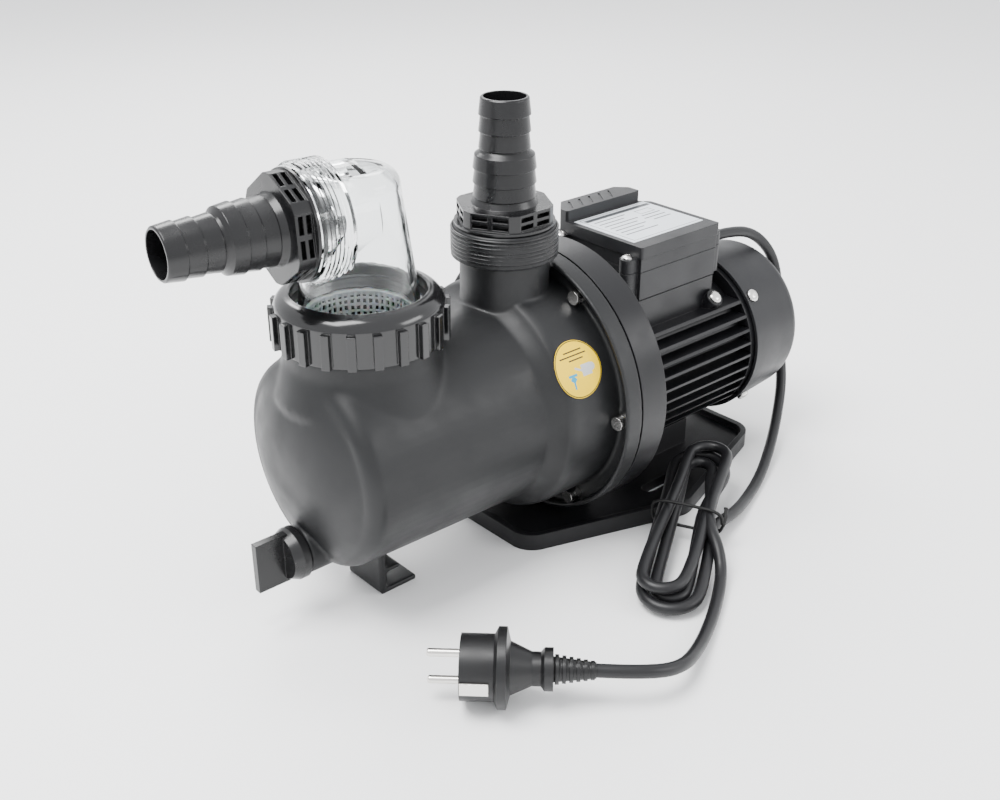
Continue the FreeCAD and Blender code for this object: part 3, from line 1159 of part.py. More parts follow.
def make_base():
    def bow(inset):
        return (
            (S.base_front_x + inset, -S.base_end_half_width + inset / 2),
            (0.0, -S.base_half_width + inset),
            (S.base_rear_x - inset, -S.base_end_half_width + inset / 2),
            (S.base_rear_x - inset, S.base_end_half_width - inset / 2),
            (0.0, S.base_half_width - inset),
            (S.base_front_x + inset, S.base_end_half_width - inset / 2),
        )

    plate = slab("base_outer", bow(as_size(0.0)), S.base_rim_height, (0.0, 0.0, 0.0), UP, S.base_corner)
    tray = slab("base_tray", bow(S.base_rim_width), S.base_rim_height, (0.0, 0.0, S.base_thickness), UP,
                S.base_corner - S.base_rim_width)
    slots = []
    for x_side, x_name in ((-0.5, "front"), (0.5, "rear")):
        for y_side, y_name in ((-0.5, "near"), (0.5, "far")):
            name = "base_slot_" + x_name + "_" + y_name
            x = S.slot_centre_x + S.slot_spacing_x * x_side
            y = S.slot_spacing_y * y_side
            front = rod(name + "_front", S.slot_radius, S.pedestal_top, (x - S.slot_travel / 2, y, -1.0))
            rear = rod(name + "_rear", S.slot_radius, S.pedestal_top, (x + S.slot_travel / 2, y, -1.0))
            middle = block(name + "_middle", (S.slot_travel, S.slot_radius * 2, S.pedestal_top), (x, y, -1.0))
            slots.append(joined(name, middle, front, rear))
    pedestal = block("base_pedestal", (S.pedestal_length, S.pedestal_half_width * 2, S.pedestal_top - 2.0),
                     (S.pedestal_front_x + S.pedestal_length / 2, 0.0, 2.0))
    gusset = block("base_gusset", (S.pedestal_length + 24.0, 6.0, 20.0),
                   (S.pedestal_front_x + S.pedestal_length / 2, 0.0, 2.0))
    foot_x = S.parting_x / 2 + S.bracket_back_x / 2
    holes = []
    for side, name in ((-1, "near"), (1, "far")):
        place = (foot_x, S.base_screw_y * side, -1.0)
        holes.append(rod("base_foot_hole_" + name, S.screw_shank_radius + S.running_gap, 20.0, place))
        holes.append(rod("base_head_well_" + name, S.screw_head_radius + 1.4, 4.5, place))
    tray_cut = cut("base_trayed", plate, tray)
    solid = joined("base_solid", tray_cut, pedestal, gusset)
    node(cut("base_plate", solid, *slots, *holes))
    down = FreeCAD.Rotation(FreeCAD.Vector(1, 0, 0), 180)
    node(group("base_plate_screws", [
        pan_screw("base_plate_screw_" + name, S.screw_head_radius, S.screw_shank_radius, 7.2,
                  (foot_x, S.base_screw_y * side, 3.5), down)
        for side, name in ((-1, "near"), (1, "far"))
    ]))


def make_fill_sticker():
    """A thin round sticker, curved to the pump chamber."""
    skin = sleeve("sticker_skin", S.hump_radius + 0.4, S.hump_radius + 0.05, 60.0,
                  on_casing(S.hump_front_x), ALONG_X)
    punch = rod("sticker_punch", 18.5, 60.0, (S.discharge_x + 0.5,) + around(*CASING_AXIS, 50.0, 30.0),
                about_x(30.0))
    node(common("fill_sticker", skin, punch))


# ---------------------------------------------------------------- mains lead

def rounded_route(points):
    """Straight runs joined by tangent arcs, each as large as its two runs allow."""
    edges = []
    radii = []
    corners = [FreeCAD.Vector(*point) for point in points]
    start = corners[0]
    for before, corner, after in zip(corners, corners[1:], corners[2:]):
        arriving = (corner - before).normalize()
        leaving = (after - corner).normalize()
        turn = arriving.getAngle(leaving)
        reach = 0.45 * min((corner - before).Length, (after - corner).Length)
        radius = reach / math.tan(turn / 2)
        first = corner - arriving * reach
        last = corner + leaving * reach
        inward = (leaving - arriving).normalize()
        depth = radius * (1 / math.cos(turn / 2) - 1)
        edges.append(Part.LineSegment(start, first).toShape())
        edges.append(Part.Arc(first, corner + inward * depth, last).toShape())
        radii.append(round(radius, 1))
        start = last
    edges.append(Part.LineSegment(start, corners[-1]).toShape())
    return Part.Wire(edges), radii


def make_cord(label, points):
    """A round tube along a route, checked against its section times its length."""
    path, radii = rounded_route(points)
    heading = FreeCAD.Vector(*points[1]) - FreeCAD.Vector(*points[0])
    section = Part.Wire(Part.makeCircle(S.cord_radius.value, FreeCAD.Vector(*points[0]), heading))
    tube = add("Part::Feature", label)
    tube.Shape = path.makePipeShell([section], True, False)
    expected = math.pi * S.cord_radius.value ** 2 * path.Length
    print(label, "length", round(path.Length, 1), "radii", radii,
          "volume share", round(tube.Shape.Volume / expected, 4))
    if abs(tube.Shape.Volume / expected - 1) > 0.01:
        raise RuntimeError(label + " does not have the volume of its route")
    return node(tube)


PLUG_START = (-192.0, -181.0, (S.plug_collar_radius + S.fit_gap).value)
CORD_OFF_GLAND = (
    (S.box_rear_x - S.box_step + S.gland_length).value,
    S.gland_y.value,
    S.gland_height.value,
)
CORD_TO_HANK = (
    CORD_OFF_GLAND,
    (114, -8, 165),
    (147, -9, 158),
    (169, -15, 134),
    (170, -22, 101),
    (166, -28, 73),
    (157, -43, 44),
    (134, -58, 22),
    (104, -75, 10),
    (72, -91, 5),
    (42, -103, 5),
    (16, -113, 9),
    (-8, -117, 17),
)
CORD_TO_PLUG = (
    (-30, -134, 15),
    (-46, -152, 8),
    (-66, -166, 5),
    (-90, -180, 5),
    (-118, -194, 8),
    (-147, -205.6, 16),
    (-172.6, -199.8, 22.6),
    PLUG_START,
)

HANK_TURN = FreeCAD.Rotation(FreeCAD.Vector(0, 0, 1), S.hank_heading.value).multiply(
    FreeCAD.Rotation(FreeCAD.Vector(0, 1, 0), S.hank_tilt.value))
HANK_START = (47.0, -57.0, 19.0)
PLUG_TURN = FreeCAD.Rotation(
    FreeCAD.Vector(0, 0, 1),
    FreeCAD.Vector(math.cos(math.radians(S.plug_heading.value)), math.sin(math.radians(S.plug_heading.value)), 0),
)


def make_mains_lead():
    make_cord("power_cord_to_hank", CORD_TO_HANK)
    half = S.hank_width / 2
    run = S.hank_length - S.hank_width
    first = rod("hank_first_loop", half, S.hank_thickness,
                shifted(HANK_START, HANK_TURN, (half, 0.0, 0.0)), HANK_TURN)
    last = rod("hank_last_loop", half, S.hank_thickness,
               shifted(HANK_START, HANK_TURN, (half + run, 0.0, 0.0)), HANK_TURN)
    middle = block("hank_middle", (run, S.hank_width, S.hank_thickness),
                   shifted(HANK_START, HANK_TURN, (half + run / 2, 0.0, 0.0)), HANK_TURN)
    node(joined("cord_hank", first, last, middle))
    tie_centre = shifted(HANK_START, HANK_TURN, (S.hank_length * 0.48, 0.0, 0.0))
    tie_outer = block("tie_outer", (3.0, S.hank_width + 3.0, S.hank_thickness + 3.0),
                      shifted(tie_centre, HANK_TURN, (0.0, 0.0, -1.5)), HANK_TURN)
    tie_inner = block("tie_inner", (6.0, S.hank_width + S.fit_gap, S.hank_thickness + S.fit_gap),
                      shifted(tie_centre, HANK_TURN, (0.0, 0.0, -S.fit_gap / 2)), HANK_TURN)
    node(cut("cord_tie", tie_outer, tie_inner))
    make_cord("power_cord_to_plug", CORD_TO_PLUG)


def make_plug():
    relief_length = 24.0
    node(turned("plug_strain_relief", (
        (0.0, 0.0),
        (S.cord_radius + 1.4, 0.0),
        (S.cord_radius + 4.4, relief_length),
        (0.0, relief_length),
    ), PLUG_START, PLUG_TURN))
    neck = S.plug_collar_radius * 0.42
    barrel = S.plug_collar_radius * 0.82
    node(turned("plug_body", (
        (0.0, relief_length),
        (neck + 2.5, relief_length),
        (neck + 2.5, relief_length + 5.0),
        (neck, relief_length + 7.0),
        (neck, relief_length + 12.0),
        (barrel * 0.8, relief_length + 24.0),
        (S.plug_collar_radius, relief_length + 26.0),
        (S.plug_collar_radius, relief_length + 31.0),
        (barrel, relief_length + 33.0),
        (barrel, relief_length + 52.0),
        (0.0, relief_length + 52.0),
    ), PLUG_START, PLUG_TURN))
    pins = []
    for side in (-1, 1):
        foot = shifted(PLUG_START, PLUG_TURN, (0.0, 0.0, relief_length + 52.0))
        place = (foot[0], foot[1], foot[2] + 9.5 * side)
        pins.append(turned("plug_pin_" + ("low" if side < 0 else "high"), (
            (0.0, 0.0),
            (2.4, 0.0),
            (2.4, 17.6, 1.6),
            (1.2, 19.0),
            (0.0, 19.0),
        ), place, PLUG_TURN))
    node(group("plug_pins", pins))
    clips = []
    for side in (-1, 1):
        face = FreeCAD.Rotation(FreeCAD.Vector(0, 0, 1), S.plug_heading.value)
        along = FreeCAD.Vector(math.cos(math.radians(S.plug_heading.value)),
                               math.sin(math.radians(S.plug_heading.value)), 0)
        across = FreeCAD.Vector(-along.y, along.x, 0)
        offset = along * (relief_length + 43.5) + across * (side * (barrel.value + 0.55))
        clips.append(block("plug_clip_" + ("right" if side < 0 else "left"), (16.0, 1.0, 8.0),
                           (PLUG_START[0] + offset.x, PLUG_START[1] + offset.y, PLUG_START[2] - 4.0), face))
    node(group("plug_earth_clips", clips))


# ---------------------------------------------------------------- build and write

make_pump_casing()
make_casing_fasteners()
make_drain_plug()
make_basket()
make_lid()
make_union_nut()
make_nozzle("suction", SUCTION_SEAT, SUCTION_TURN)
make_nozzle("discharge", DISCHARGE_SEAT, UP)
make_bracket(make_wet_end())
make_motor()
make_rear_end()
make_terminal_box()
make_terminal_cover()
make_cable_gland()
make_base()
make_fill_sticker()
make_mains_lead()
make_plug()

doc.recompute()
for thing in doc.Objects:
    if "Invalid" in thing.State or "Error" in thing.State:
        raise RuntimeError(thing.Label + " did not build: " + ", ".join(thing.State))

os.makedirs("parts", exist_ok=True)
for piece in NODES:
    shape = piece.Shape
    if shape.isNull() or not shape.isValid() or not shape.Solids:
        raise RuntimeError(piece.Label + " is not a valid solid")
    if shape.Volume <= 0:
        raise RuntimeError(piece.Label + " has no volume")
    shape.exportStep(os.path.join("parts", piece.Label + ".step"))
print(len(NODES), "nodes written")
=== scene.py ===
"""Looks of a self-priming pool pump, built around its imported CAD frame.

Metres, +Z up, the motor towards +X and the strainer towards -X. The CAD nodes stay where they
are and get procedural finishes. Pieces that CAD shows only roughly are made here in detail: the
blended pump casing, the thread of its port, the screw heads, the strainer basket, the mains lead
with its tied hank, and the ribs of the plug's strain relief.
"""
import json
import logging
import math
from dataclasses import dataclass, field
from enum import Enum

import bpy
from mathutils import Matrix, Vector


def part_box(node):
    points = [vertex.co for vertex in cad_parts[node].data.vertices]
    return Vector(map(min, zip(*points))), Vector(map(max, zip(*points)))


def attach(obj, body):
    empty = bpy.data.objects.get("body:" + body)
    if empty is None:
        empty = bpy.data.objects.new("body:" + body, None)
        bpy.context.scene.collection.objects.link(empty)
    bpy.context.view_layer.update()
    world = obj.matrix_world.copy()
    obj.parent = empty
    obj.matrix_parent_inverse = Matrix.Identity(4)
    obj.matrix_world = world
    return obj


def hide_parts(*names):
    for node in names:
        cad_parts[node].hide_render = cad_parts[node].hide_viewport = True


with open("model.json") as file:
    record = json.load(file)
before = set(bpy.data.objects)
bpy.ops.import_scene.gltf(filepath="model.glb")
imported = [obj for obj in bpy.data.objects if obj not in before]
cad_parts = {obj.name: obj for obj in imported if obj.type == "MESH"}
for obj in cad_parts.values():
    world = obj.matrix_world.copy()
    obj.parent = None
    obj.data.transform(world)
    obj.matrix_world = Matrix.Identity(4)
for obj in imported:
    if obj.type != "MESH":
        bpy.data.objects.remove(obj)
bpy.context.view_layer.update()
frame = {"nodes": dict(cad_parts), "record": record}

logging.basicConfig(level=logging.INFO, format="%(message)s")
log = logging.getLogger("pool_pump")

Point = tuple[float, float, float]
ORIGIN: Point = (0.0, 0.0, 0.0)


# ---------------------------------------------------------------- camera

@dataclass(frozen=True)
class CameraSetup:
    """Where the camera stands and how wide it sees.

    Attributes:
        location: place of the camera.
        backwards: direction from the scene towards the camera.
        lens: focal length in millimetres on the sensor below.
        sensor: width of the sensor in millimetres.
    """

    location: Point = (-0.5929, -0.5531, 0.4687)
    backwards: Point = (-0.5908, -0.6681, 0.4524)
    lens: float = 44.31
    sensor: float = 36.0

    def build(self) -> bpy.types.Object:
        """Adds the camera and makes it the scene's camera.

        Returns:
            The camera object.
        """
        data = bpy.data.cameras.new("Camera")
        data.lens = self.lens
        data.sensor_width = self.sensor
        data.clip_start = 0.01
        camera = bpy.data.objects.new("Camera", data)
        back = Vector(self.backwards).normalized()
        right = Vector((0.0, 0.0, 1.0)).cross(back).normalized()
        over = back.cross(right)
        turn = Matrix((right, over, back)).transposed()
        camera.matrix_world = Matrix.Translation(self.location) @ turn.to_4x4()
        bpy.context.scene.collection.objects.link(camera)
        bpy.context.scene.camera = camera
        return camera


# ---------------------------------------------------------------- mains lead

@dataclass(frozen=True)
class HankSetup:
    """The tied hank of the mains lead, as a flat bundle of oblong loops.

    Attributes:
        start: one end of the bundle's underside, on its long axis.
        heading: direction of the bundle on the floor, in degrees.
        tilt: slope of the bundle over the base's rim, in degrees.
        tie_at: distance of the tie from the start.
    """

    start: Point = (0.047, -0.057, 0.019)
    heading: float = 213.0
    tilt: float = 5.4
    tie_at: float = 0.089

    def frame(self) -> Matrix:
        """Returns the matrix from the bundle's own axes (along, across, up) to the row frame."""
        spin = Matrix.Rotation(math.radians(self.heading), 4, "Z")
        lean = Matrix.Rotation(math.radians(self.tilt), 4, "Y")
        return Matrix.Translation(self.start) @ spin @ lean

    def place(self, along: float, across: float, up: float) -> Point:
        """Takes a point of the bundle to the row frame.

        Args:
            along: distance from the start, in metres.
            across: distance from the long axis, in metres.
            up: height above the underside, in metres.

        Returns:
            The same point in the row frame.
        """
        return tuple(self.frame() @ Vector((along, across, up)))


@dataclass(frozen=True)
class Turn:
    """One loop of the hank, walked from its near side round both ends.

    Attributes:
        half_width: distance of the loop's sides from the long axis.
        low: along-distance of the loop's first end.
        high: along-distance of the loop's second end.
        up_out: height on the way out.
        up_back: height on the way back.
        sway: how far the sides wander.
        skew: how far the loop's ends shift to opposite sides.
    """

    half_width: float
    low: float
    high: float
    up_out: float
    up_back: float
    sway: float
    skew: float = 0.0

    def shift(self, along: float) -> float:
        """Sideways shift of the loop at a distance along the bundle.

        Args:
            along: distance from the bundle's start.

        Returns:
            The shift towards +across.
        """
        middle = (self.low + self.high) / 2
        return -self.skew * (along - middle) / (self.high - middle)


@dataclass
class MainsLead:
    """The mains lead: one cord from the gland through the hank to the plug, and its wire tie.

    Attributes:
        diameter: outer diameter of the cord.
        length: length along its centreline. Not used.
        hank: where the bundle lies.
        to_hank: route from the gland to the bundle.
        to_plug: route from the bundle to the plug.
        turns: the loops of the bundle, in order.
        joins: where each loop begins and where it leaves, along the bundle.
        way_out: the cord's way out of the bundle, in the bundle's own axes.
        loop_points: control points round one end of a loop.
        out_shares: places of the control points on the way out.
        back_shares: the same on the way back.
        out_waves: pace of the sway on the way out, in radians per metre.
        back_waves: the same on the way back.
        end_reach: length of a loop's end as a share of its half width.
        end_width: width of a loop's end as a share of its half width.
    """

    diameter: float = 0.008
    length: float = 1.68
    hank: HankSetup = field(default_factory=HankSetup)
    to_hank: tuple[Point, ...] = (
        (0.0908, -0.008, 0.165), (0.114, -0.008, 0.165), (0.147, -0.009, 0.158), (0.169, -0.015, 0.134),
        (0.170, -0.022, 0.101), (0.166, -0.028, 0.073), (0.157, -0.043, 0.044), (0.134, -0.058, 0.022),
        (0.104, -0.075, 0.010), (0.072, -0.091, 0.005), (0.042, -0.103, 0.005), (0.016, -0.113, 0.009),
    )
    to_plug: tuple[Point, ...] = (
        (-0.046, -0.152, 0.008), (-0.066, -0.166, 0.005), (-0.090, -0.180, 0.005), (-0.118, -0.194, 0.008),
        (-0.147, -0.2056, 0.016), (-0.1726, -0.1998, 0.0226), (-0.192, -0.181, 0.0233),
    )
    turns: tuple[Turn, ...] = (
        Turn(0.0182, 0.006, 0.178, 0.0046, 0.0046, 0.0010),
        Turn(0.0096, 0.016, 0.168, 0.0046, 0.0046, 0.0006),
        Turn(0.0135, 0.006, 0.170, 0.0131, 0.0131, 0.0012, 0.0062),
    )
    joins: tuple[tuple[float, float], ...] = ((0.090, 0.050), (0.070, 0.050), (0.070, 0.070))
    way_out: tuple[Point, ...] = ((0.082, 0.0140, 0.0135), (0.103, 0.0170, 0.0140), (0.119, 0.0250, 0.0105))
    loop_points: int = 6
    out_shares: Point = (0.0, 0.33, 0.66)
    back_shares: Point = (0.25, 0.5, 0.75)
    out_waves: float = 60.0
    back_waves: float = 70.0
    end_reach: float = 1.08
    end_width: float = 1.04

    def loop(self, turn: Turn, begin: float, leave: float) -> list[Point]:
        """Points of one loop: out along +across, round the far end, back, and round the first end.

        Args:
            turn: the loop.
            begin: along-distance where the loop starts.
            leave: along-distance where it ends, on the same side.

        Returns:
            The loop's control points in the row frame.
        """
        width = turn.half_width
        far, near = turn.high - width, turn.low + width
        sides = ((1.0, begin, far, self.out_shares, self.out_waves, turn.up_out),
                 (-1.0, far, near, self.back_shares, self.back_waves, turn.up_back))
        points = []
        for side, start, end, shares, waves, up in sides:
            for share in shares:
                along = start + (end - start) * share
                across = side * (width + turn.sway * math.sin(along * waves))
                points.append(self.hank.place(along, turn.shift(along) + across, up))
            for index in range(self.loop_points):
                angle = math.pi * index / (self.loop_points - 1)
                along = end + side * width * self.end_reach * math.sin(angle)
                across = side * width * self.end_width * math.cos(angle)
                points.append(self.hank.place(along, turn.shift(along) + across, up))
        last = (near + leave) / 2
        points.append(self.hank.place(last, width + turn.shift(last), turn.up_back))
        return points

    def route(self) -> list[Point]:
        """Returns the control points of the whole lead, from the gland to the plug."""
        points = list(self.to_hank)
        for turn, (begin, leave) in zip(self.turns, self.joins):
            points += self.loop(turn, begin, leave)
        points += [self.hank.place(*spot) for spot in self.way_out]
        return points + list(self.to_plug)

    def build(self) -> bpy.types.Object:
        """Adds the cord as one curve.
        """
        cord = nurbs_tube("MainsLead", self.route(), self.diameter / 2, MATERIALS["cord_rubber"])
        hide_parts("power_cord_to_hank", "cord_hank", "power_cord_to_plug")
        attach(cord, "pump")
        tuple(self.to_hank[0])
        return cord

    def build_tie(self) -> bpy.types.Object:
        """Adds the thin wire tie round the bundle, with its twisted ends.

        Returns:
            The tie.
        """
        wire, half_width, top = 0.0011, 0.0242, 0.0190
        ring_points, twist_points = 24, 14
        coil, climb = 0.0014, 0.0016
        points = []
        for index in range(ring_points):
            angle = 2 * math.pi * index / ring_points
            across = half_width * math.copysign(abs(math.cos(angle)) ** 0.45, math.cos(angle))
            up = top / 2 + top * 0.52 * math.copysign(abs(math.sin(angle)) ** 0.55, math.sin(angle))
            points.append(self.hank.place(self.tie_wander(across), across, max(up, wire)))
        for index in range(twist_points):
            angle = math.pi * 0.9 * index
            along = self.tie_wander(half_width) + coil * math.cos(angle) - climb * index * 0.5
            across = half_width + 0.0012 + coil * math.sin(angle)
            points.append(self.hank.place(along, across, top * 0.55 + climb * index * 0.25))
        tie = nurbs_tube("WireTie", points, wire, MATERIALS["seal_rubber"])
        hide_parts("cord_tie")
        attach(tie, "pump")
        return tie

    def tie_wander(self, across: float) -> float:
        """Along-distance of the tie at a place across the bundle.

        Args:
            across: distance from the long axis.

        Returns:
            Distance from the bundle's start.
        """
        return self.hank.tie_at + across * 0.12


def nurbs_tube(name: str, points: list[Point], radius: float,
               material: bpy.types.Material) -> bpy.types.Object:
    """A round tube along a NURBS curve that ends at its last control points.

    Args:
        name: name of the object.
        points: control points in the row frame.
        radius: radius of the tube.
        material: its finish.

    Returns:
        The curve object.
    """
    curve = bpy.data.curves.new(name, "CURVE")
    curve.dimensions = "3D"
    curve.bevel_depth = radius
    curve.bevel_resolution = 5
    curve.use_fill_caps = True
    curve.resolution_u = 6
    curve.render_resolution_u = 6
    spline = curve.splines.new("NURBS")
    spline.points.add(len(points) - 1)
    for target, point in zip(spline.points, points):
        target.co = (*point, 1.0)
    spline.order_u = 3
    spline.use_endpoint_u = True
    spline.use_smooth = True
    curve.materials.append(material)
    tube = bpy.data.objects.new(name, curve)
    bpy.context.scene.collection.objects.link(tube)
    return tube


# ---------------------------------------------------------------- shaders

class Shader:
    """A material while it is wired: short ways to add and join nodes."""

    def __init__(self, name: str) -> None:
        """Starts an empty material.

        Args:
            name: name of the material.
        """
        self.material = bpy.data.materials.new(name)
        self.material.use_nodes = True
        self.nodes = self.material.node_tree.nodes
        self.links = self.material.node_tree.links
        self.nodes.clear()
        self.output = self.nodes.new("ShaderNodeOutputMaterial")
        self.principled = self.nodes.new("ShaderNodeBsdfPrincipled")
        self.links.new(self.principled.outputs[0], self.output.inputs["Surface"])
        self.place = self.nodes.new("ShaderNodeTexCoord").outputs["Object"]

    def put(self, socket: str, value: object) -> None:
        """Sets or joins one input of the principled shader.

        Args:
            socket: name of the input.
            value: a number, a colour or an output socket.
        """
        self.feed(self.principled.inputs[socket], value)

    def feed(self, target: bpy.types.NodeSocket, value: object) -> None:
        """Sets or joins an input.

        Args:
            target: the input.
            value: a number, a colour or an output socket.
        """
        if isinstance(value, bpy.types.NodeSocket):
            self.links.new(value, target)
        else:
            target.default_value = value

    def math(self, kind: str, *values: object) -> bpy.types.NodeSocket:
        """Adds a math node.

        Args:
            kind: the operation.
            values: its inputs.

        Returns:
            Its output.
        """
        node = self.nodes.new("ShaderNodeMath")
        node.operation = kind
        for target, value in zip(node.inputs, values):
            self.feed(target, value)
        return node.outputs[0]

    def axes(self) -> tuple[bpy.types.NodeSocket, ...]:
        """Returns the object's X, Y and Z coordinates as outputs."""
        split = self.nodes.new("ShaderNodeSeparateXYZ")
        self.links.new(self.place, split.inputs[0])
        return tuple(split.outputs)

    def noise(self, scale: float, detail: float = 3.0,
              stretch: Point = (1.0, 1.0, 1.0)) -> bpy.types.NodeSocket:
        """Adds a noise texture in object coordinates.

        Args:
            scale: cells per metre.
            detail: octaves.
            stretch: scale along each axis.

        Returns:
            The noise value.
        """
        shape = self.nodes.new("ShaderNodeMapping")
        shape.inputs["Scale"].default_value = stretch
        self.links.new(self.place, shape.inputs["Vector"])
        texture = self.nodes.new("ShaderNodeTexNoise")
        texture.inputs["Scale"].default_value = scale
        texture.inputs["Detail"].default_value = detail
        self.links.new(shape.outputs[0], texture.inputs["Vector"])
        return texture.outputs["Fac"]

    def span(self, value: bpy.types.NodeSocket, low: float, high: float) -> bpy.types.NodeSocket:
        """Maps the range 0.3 to 0.7 of a value to another range.

        Args:
            value: the incoming value.
            low: result at 0.3.
            high: result at 0.7.

        Returns:
            The mapped value.
        """
        ramp = self.nodes.new("ShaderNodeMapRange")
        ramp.inputs["From Min"].default_value = 0.3
        ramp.inputs["From Max"].default_value = 0.7
        ramp.inputs["To Min"].default_value = low
        ramp.inputs["To Max"].default_value = high
        self.links.new(value, ramp.inputs["Value"])
        return ramp.outputs[0]

    def mix(self, share: object, first: object, second: object) -> bpy.types.NodeSocket:
        """Mixes two colours.

        Args:
            share: how much of the second.
            first: colour or output.
            second: colour or output.

        Returns:
            The mixed colour.
        """
        node = self.nodes.new("ShaderNodeMix")
        node.data_type = "RGBA"
        self.feed(node.inputs[0], share)
        self.feed(node.inputs[6], first)
        self.feed(node.inputs[7], second)
        return node.outputs[2]

    def surface(self, bevel: float, height: bpy.types.NodeSocket | None, depth: float) -> None:
        """Rounds the edges a little and adds a fine relief.

        Args:
            bevel: radius of the rounded edges, 0 for none.
            height: relief, or None.
            depth: depth of the relief in metres.
        """
        normal = None
        if bevel:
            rounding = self.nodes.new("ShaderNodeBevel")
            rounding.samples = 6
            rounding.inputs["Radius"].default_value = bevel
            normal = rounding.outputs[0]
        if height is not None:
            bump = self.nodes.new("ShaderNodeBump")
            bump.inputs["Strength"].default_value = 1.0
            bump.inputs["Distance"].default_value = depth
            self.links.new(height, bump.inputs["Height"])
            if normal is not None:
                self.links.new(normal, bump.inputs["Normal"])
            normal = bump.outputs[0]
        if normal is not None:
            self.links.new(normal, self.principled.inputs["Normal"])


class Texture(Enum):
    """How a surface was made."""

    MOULDED = "moulded"
    BRUSHED = "brushed"
    SMOOTH = "smooth"


@dataclass(frozen=True)
class Finish:
    """An opaque finish.

    Attributes:
        color: base colour.
        roughness: mean roughness.
        metallic: 1 for bare metal.
        texture: how it was made.
        grain: cells of the relief per metre.
        depth: depth of the relief.
        bevel: radius of its rounded edges.
        coat: weight of a clear coat.
        dust: share of pale dust in the finish.
        sheen: level of its mirror-like reflection.
    """

    color: Point
    roughness: float
    metallic: float = 0.0
    texture: Texture = Texture.MOULDED
    grain: float = 2600.0
    depth: float = 0.00005
    bevel: float = 0.0008
    coat: float = 0.0
    dust: float = 0.0
    sheen: float = 0.5

    def build(self, name: str) -> bpy.types.Material:
        """Makes the material.

        Args:
            name: the record's slot.

        Returns:
            The material.
        """
        shader = Shader(name)
        color = (*self.color, 1.0)
        soft = shader.noise(38.0, 4.0)
        pale = tuple(min(1.0, part * 1.2 + self.dust) for part in self.color)
        shader.put("Base Color", shader.mix(shader.span(soft, 0.0, 0.35), color, (*pale, 1.0)))
        shader.put("Metallic", self.metallic)
        shader.put("Specular IOR Level", self.sheen)
        fine = shader.noise(self.grain, 2.0, (1.0, 1.0, 1.0) if self.texture is not Texture.BRUSHED
                            else (1.0, 0.06, 1.0))
        swing = 0.05 if self.texture is Texture.SMOOTH else 0.09
        shader.put("Roughness", shader.span(soft, max(0.02, self.roughness - swing), self.roughness + swing))
        if self.coat:
            shader.put("Coat Weight", self.coat)
            shader.put("Coat Roughness", 0.12)
        shader.surface(self.bevel, None if self.texture is Texture.SMOOTH else fine, self.depth)
        return shader.material


@dataclass(frozen=True)
class ClearPlastic:
    """Clear moulded plastic.

    Attributes:
        tint: colour of the light it lets through.
        index: refractive index.
        roughness: surface roughness.
    """

    tint: Point = (0.93, 0.95, 0.95)
    index: float = 1.38
    roughness: float = 0.04

    def build(self, name: str) -> bpy.types.Material:
        """Makes the material.

        Args:
            name: the record's slot.

        Returns:
            The material.
        """
        shader = Shader(name)
        shader.put("Base Color", (*self.tint, 1.0))
        shader.put("Roughness", self.roughness)
        shader.put("IOR", self.index)
        shader.put("Transmission Weight", 1.0)
        shader.surface(0.0, shader.noise(55.0, 2.0), 0.0004)
        return shader.material


@dataclass(frozen=True)
class MilkyPlastic:
    """Thin white plastic that lets some light through.

    Attributes:
        color: base colour.
        roughness: surface roughness.
        through: share of light that passes.
    """

    color: Point = (0.82, 0.85, 0.86)
    roughness: float = 0.38
    through: float = 0.35

    def build(self, name: str) -> bpy.types.Material:
        """Makes the material.

        Args:
            name: the record's slot.

        Returns:
            The material.
        """
        shader = Shader(name)
        shader.put("Base Color", (*self.color, 1.0))
        shader.put("Roughness", self.roughness)
        shader.put("Transmission Weight", self.through)
        shader.put("Subsurface Weight", 0.2)
        shader.put("Subsurface Scale", 0.003)
        shader.surface(0.0004, shader.noise(900.0, 2.0), 0.00003)
        return shader.material


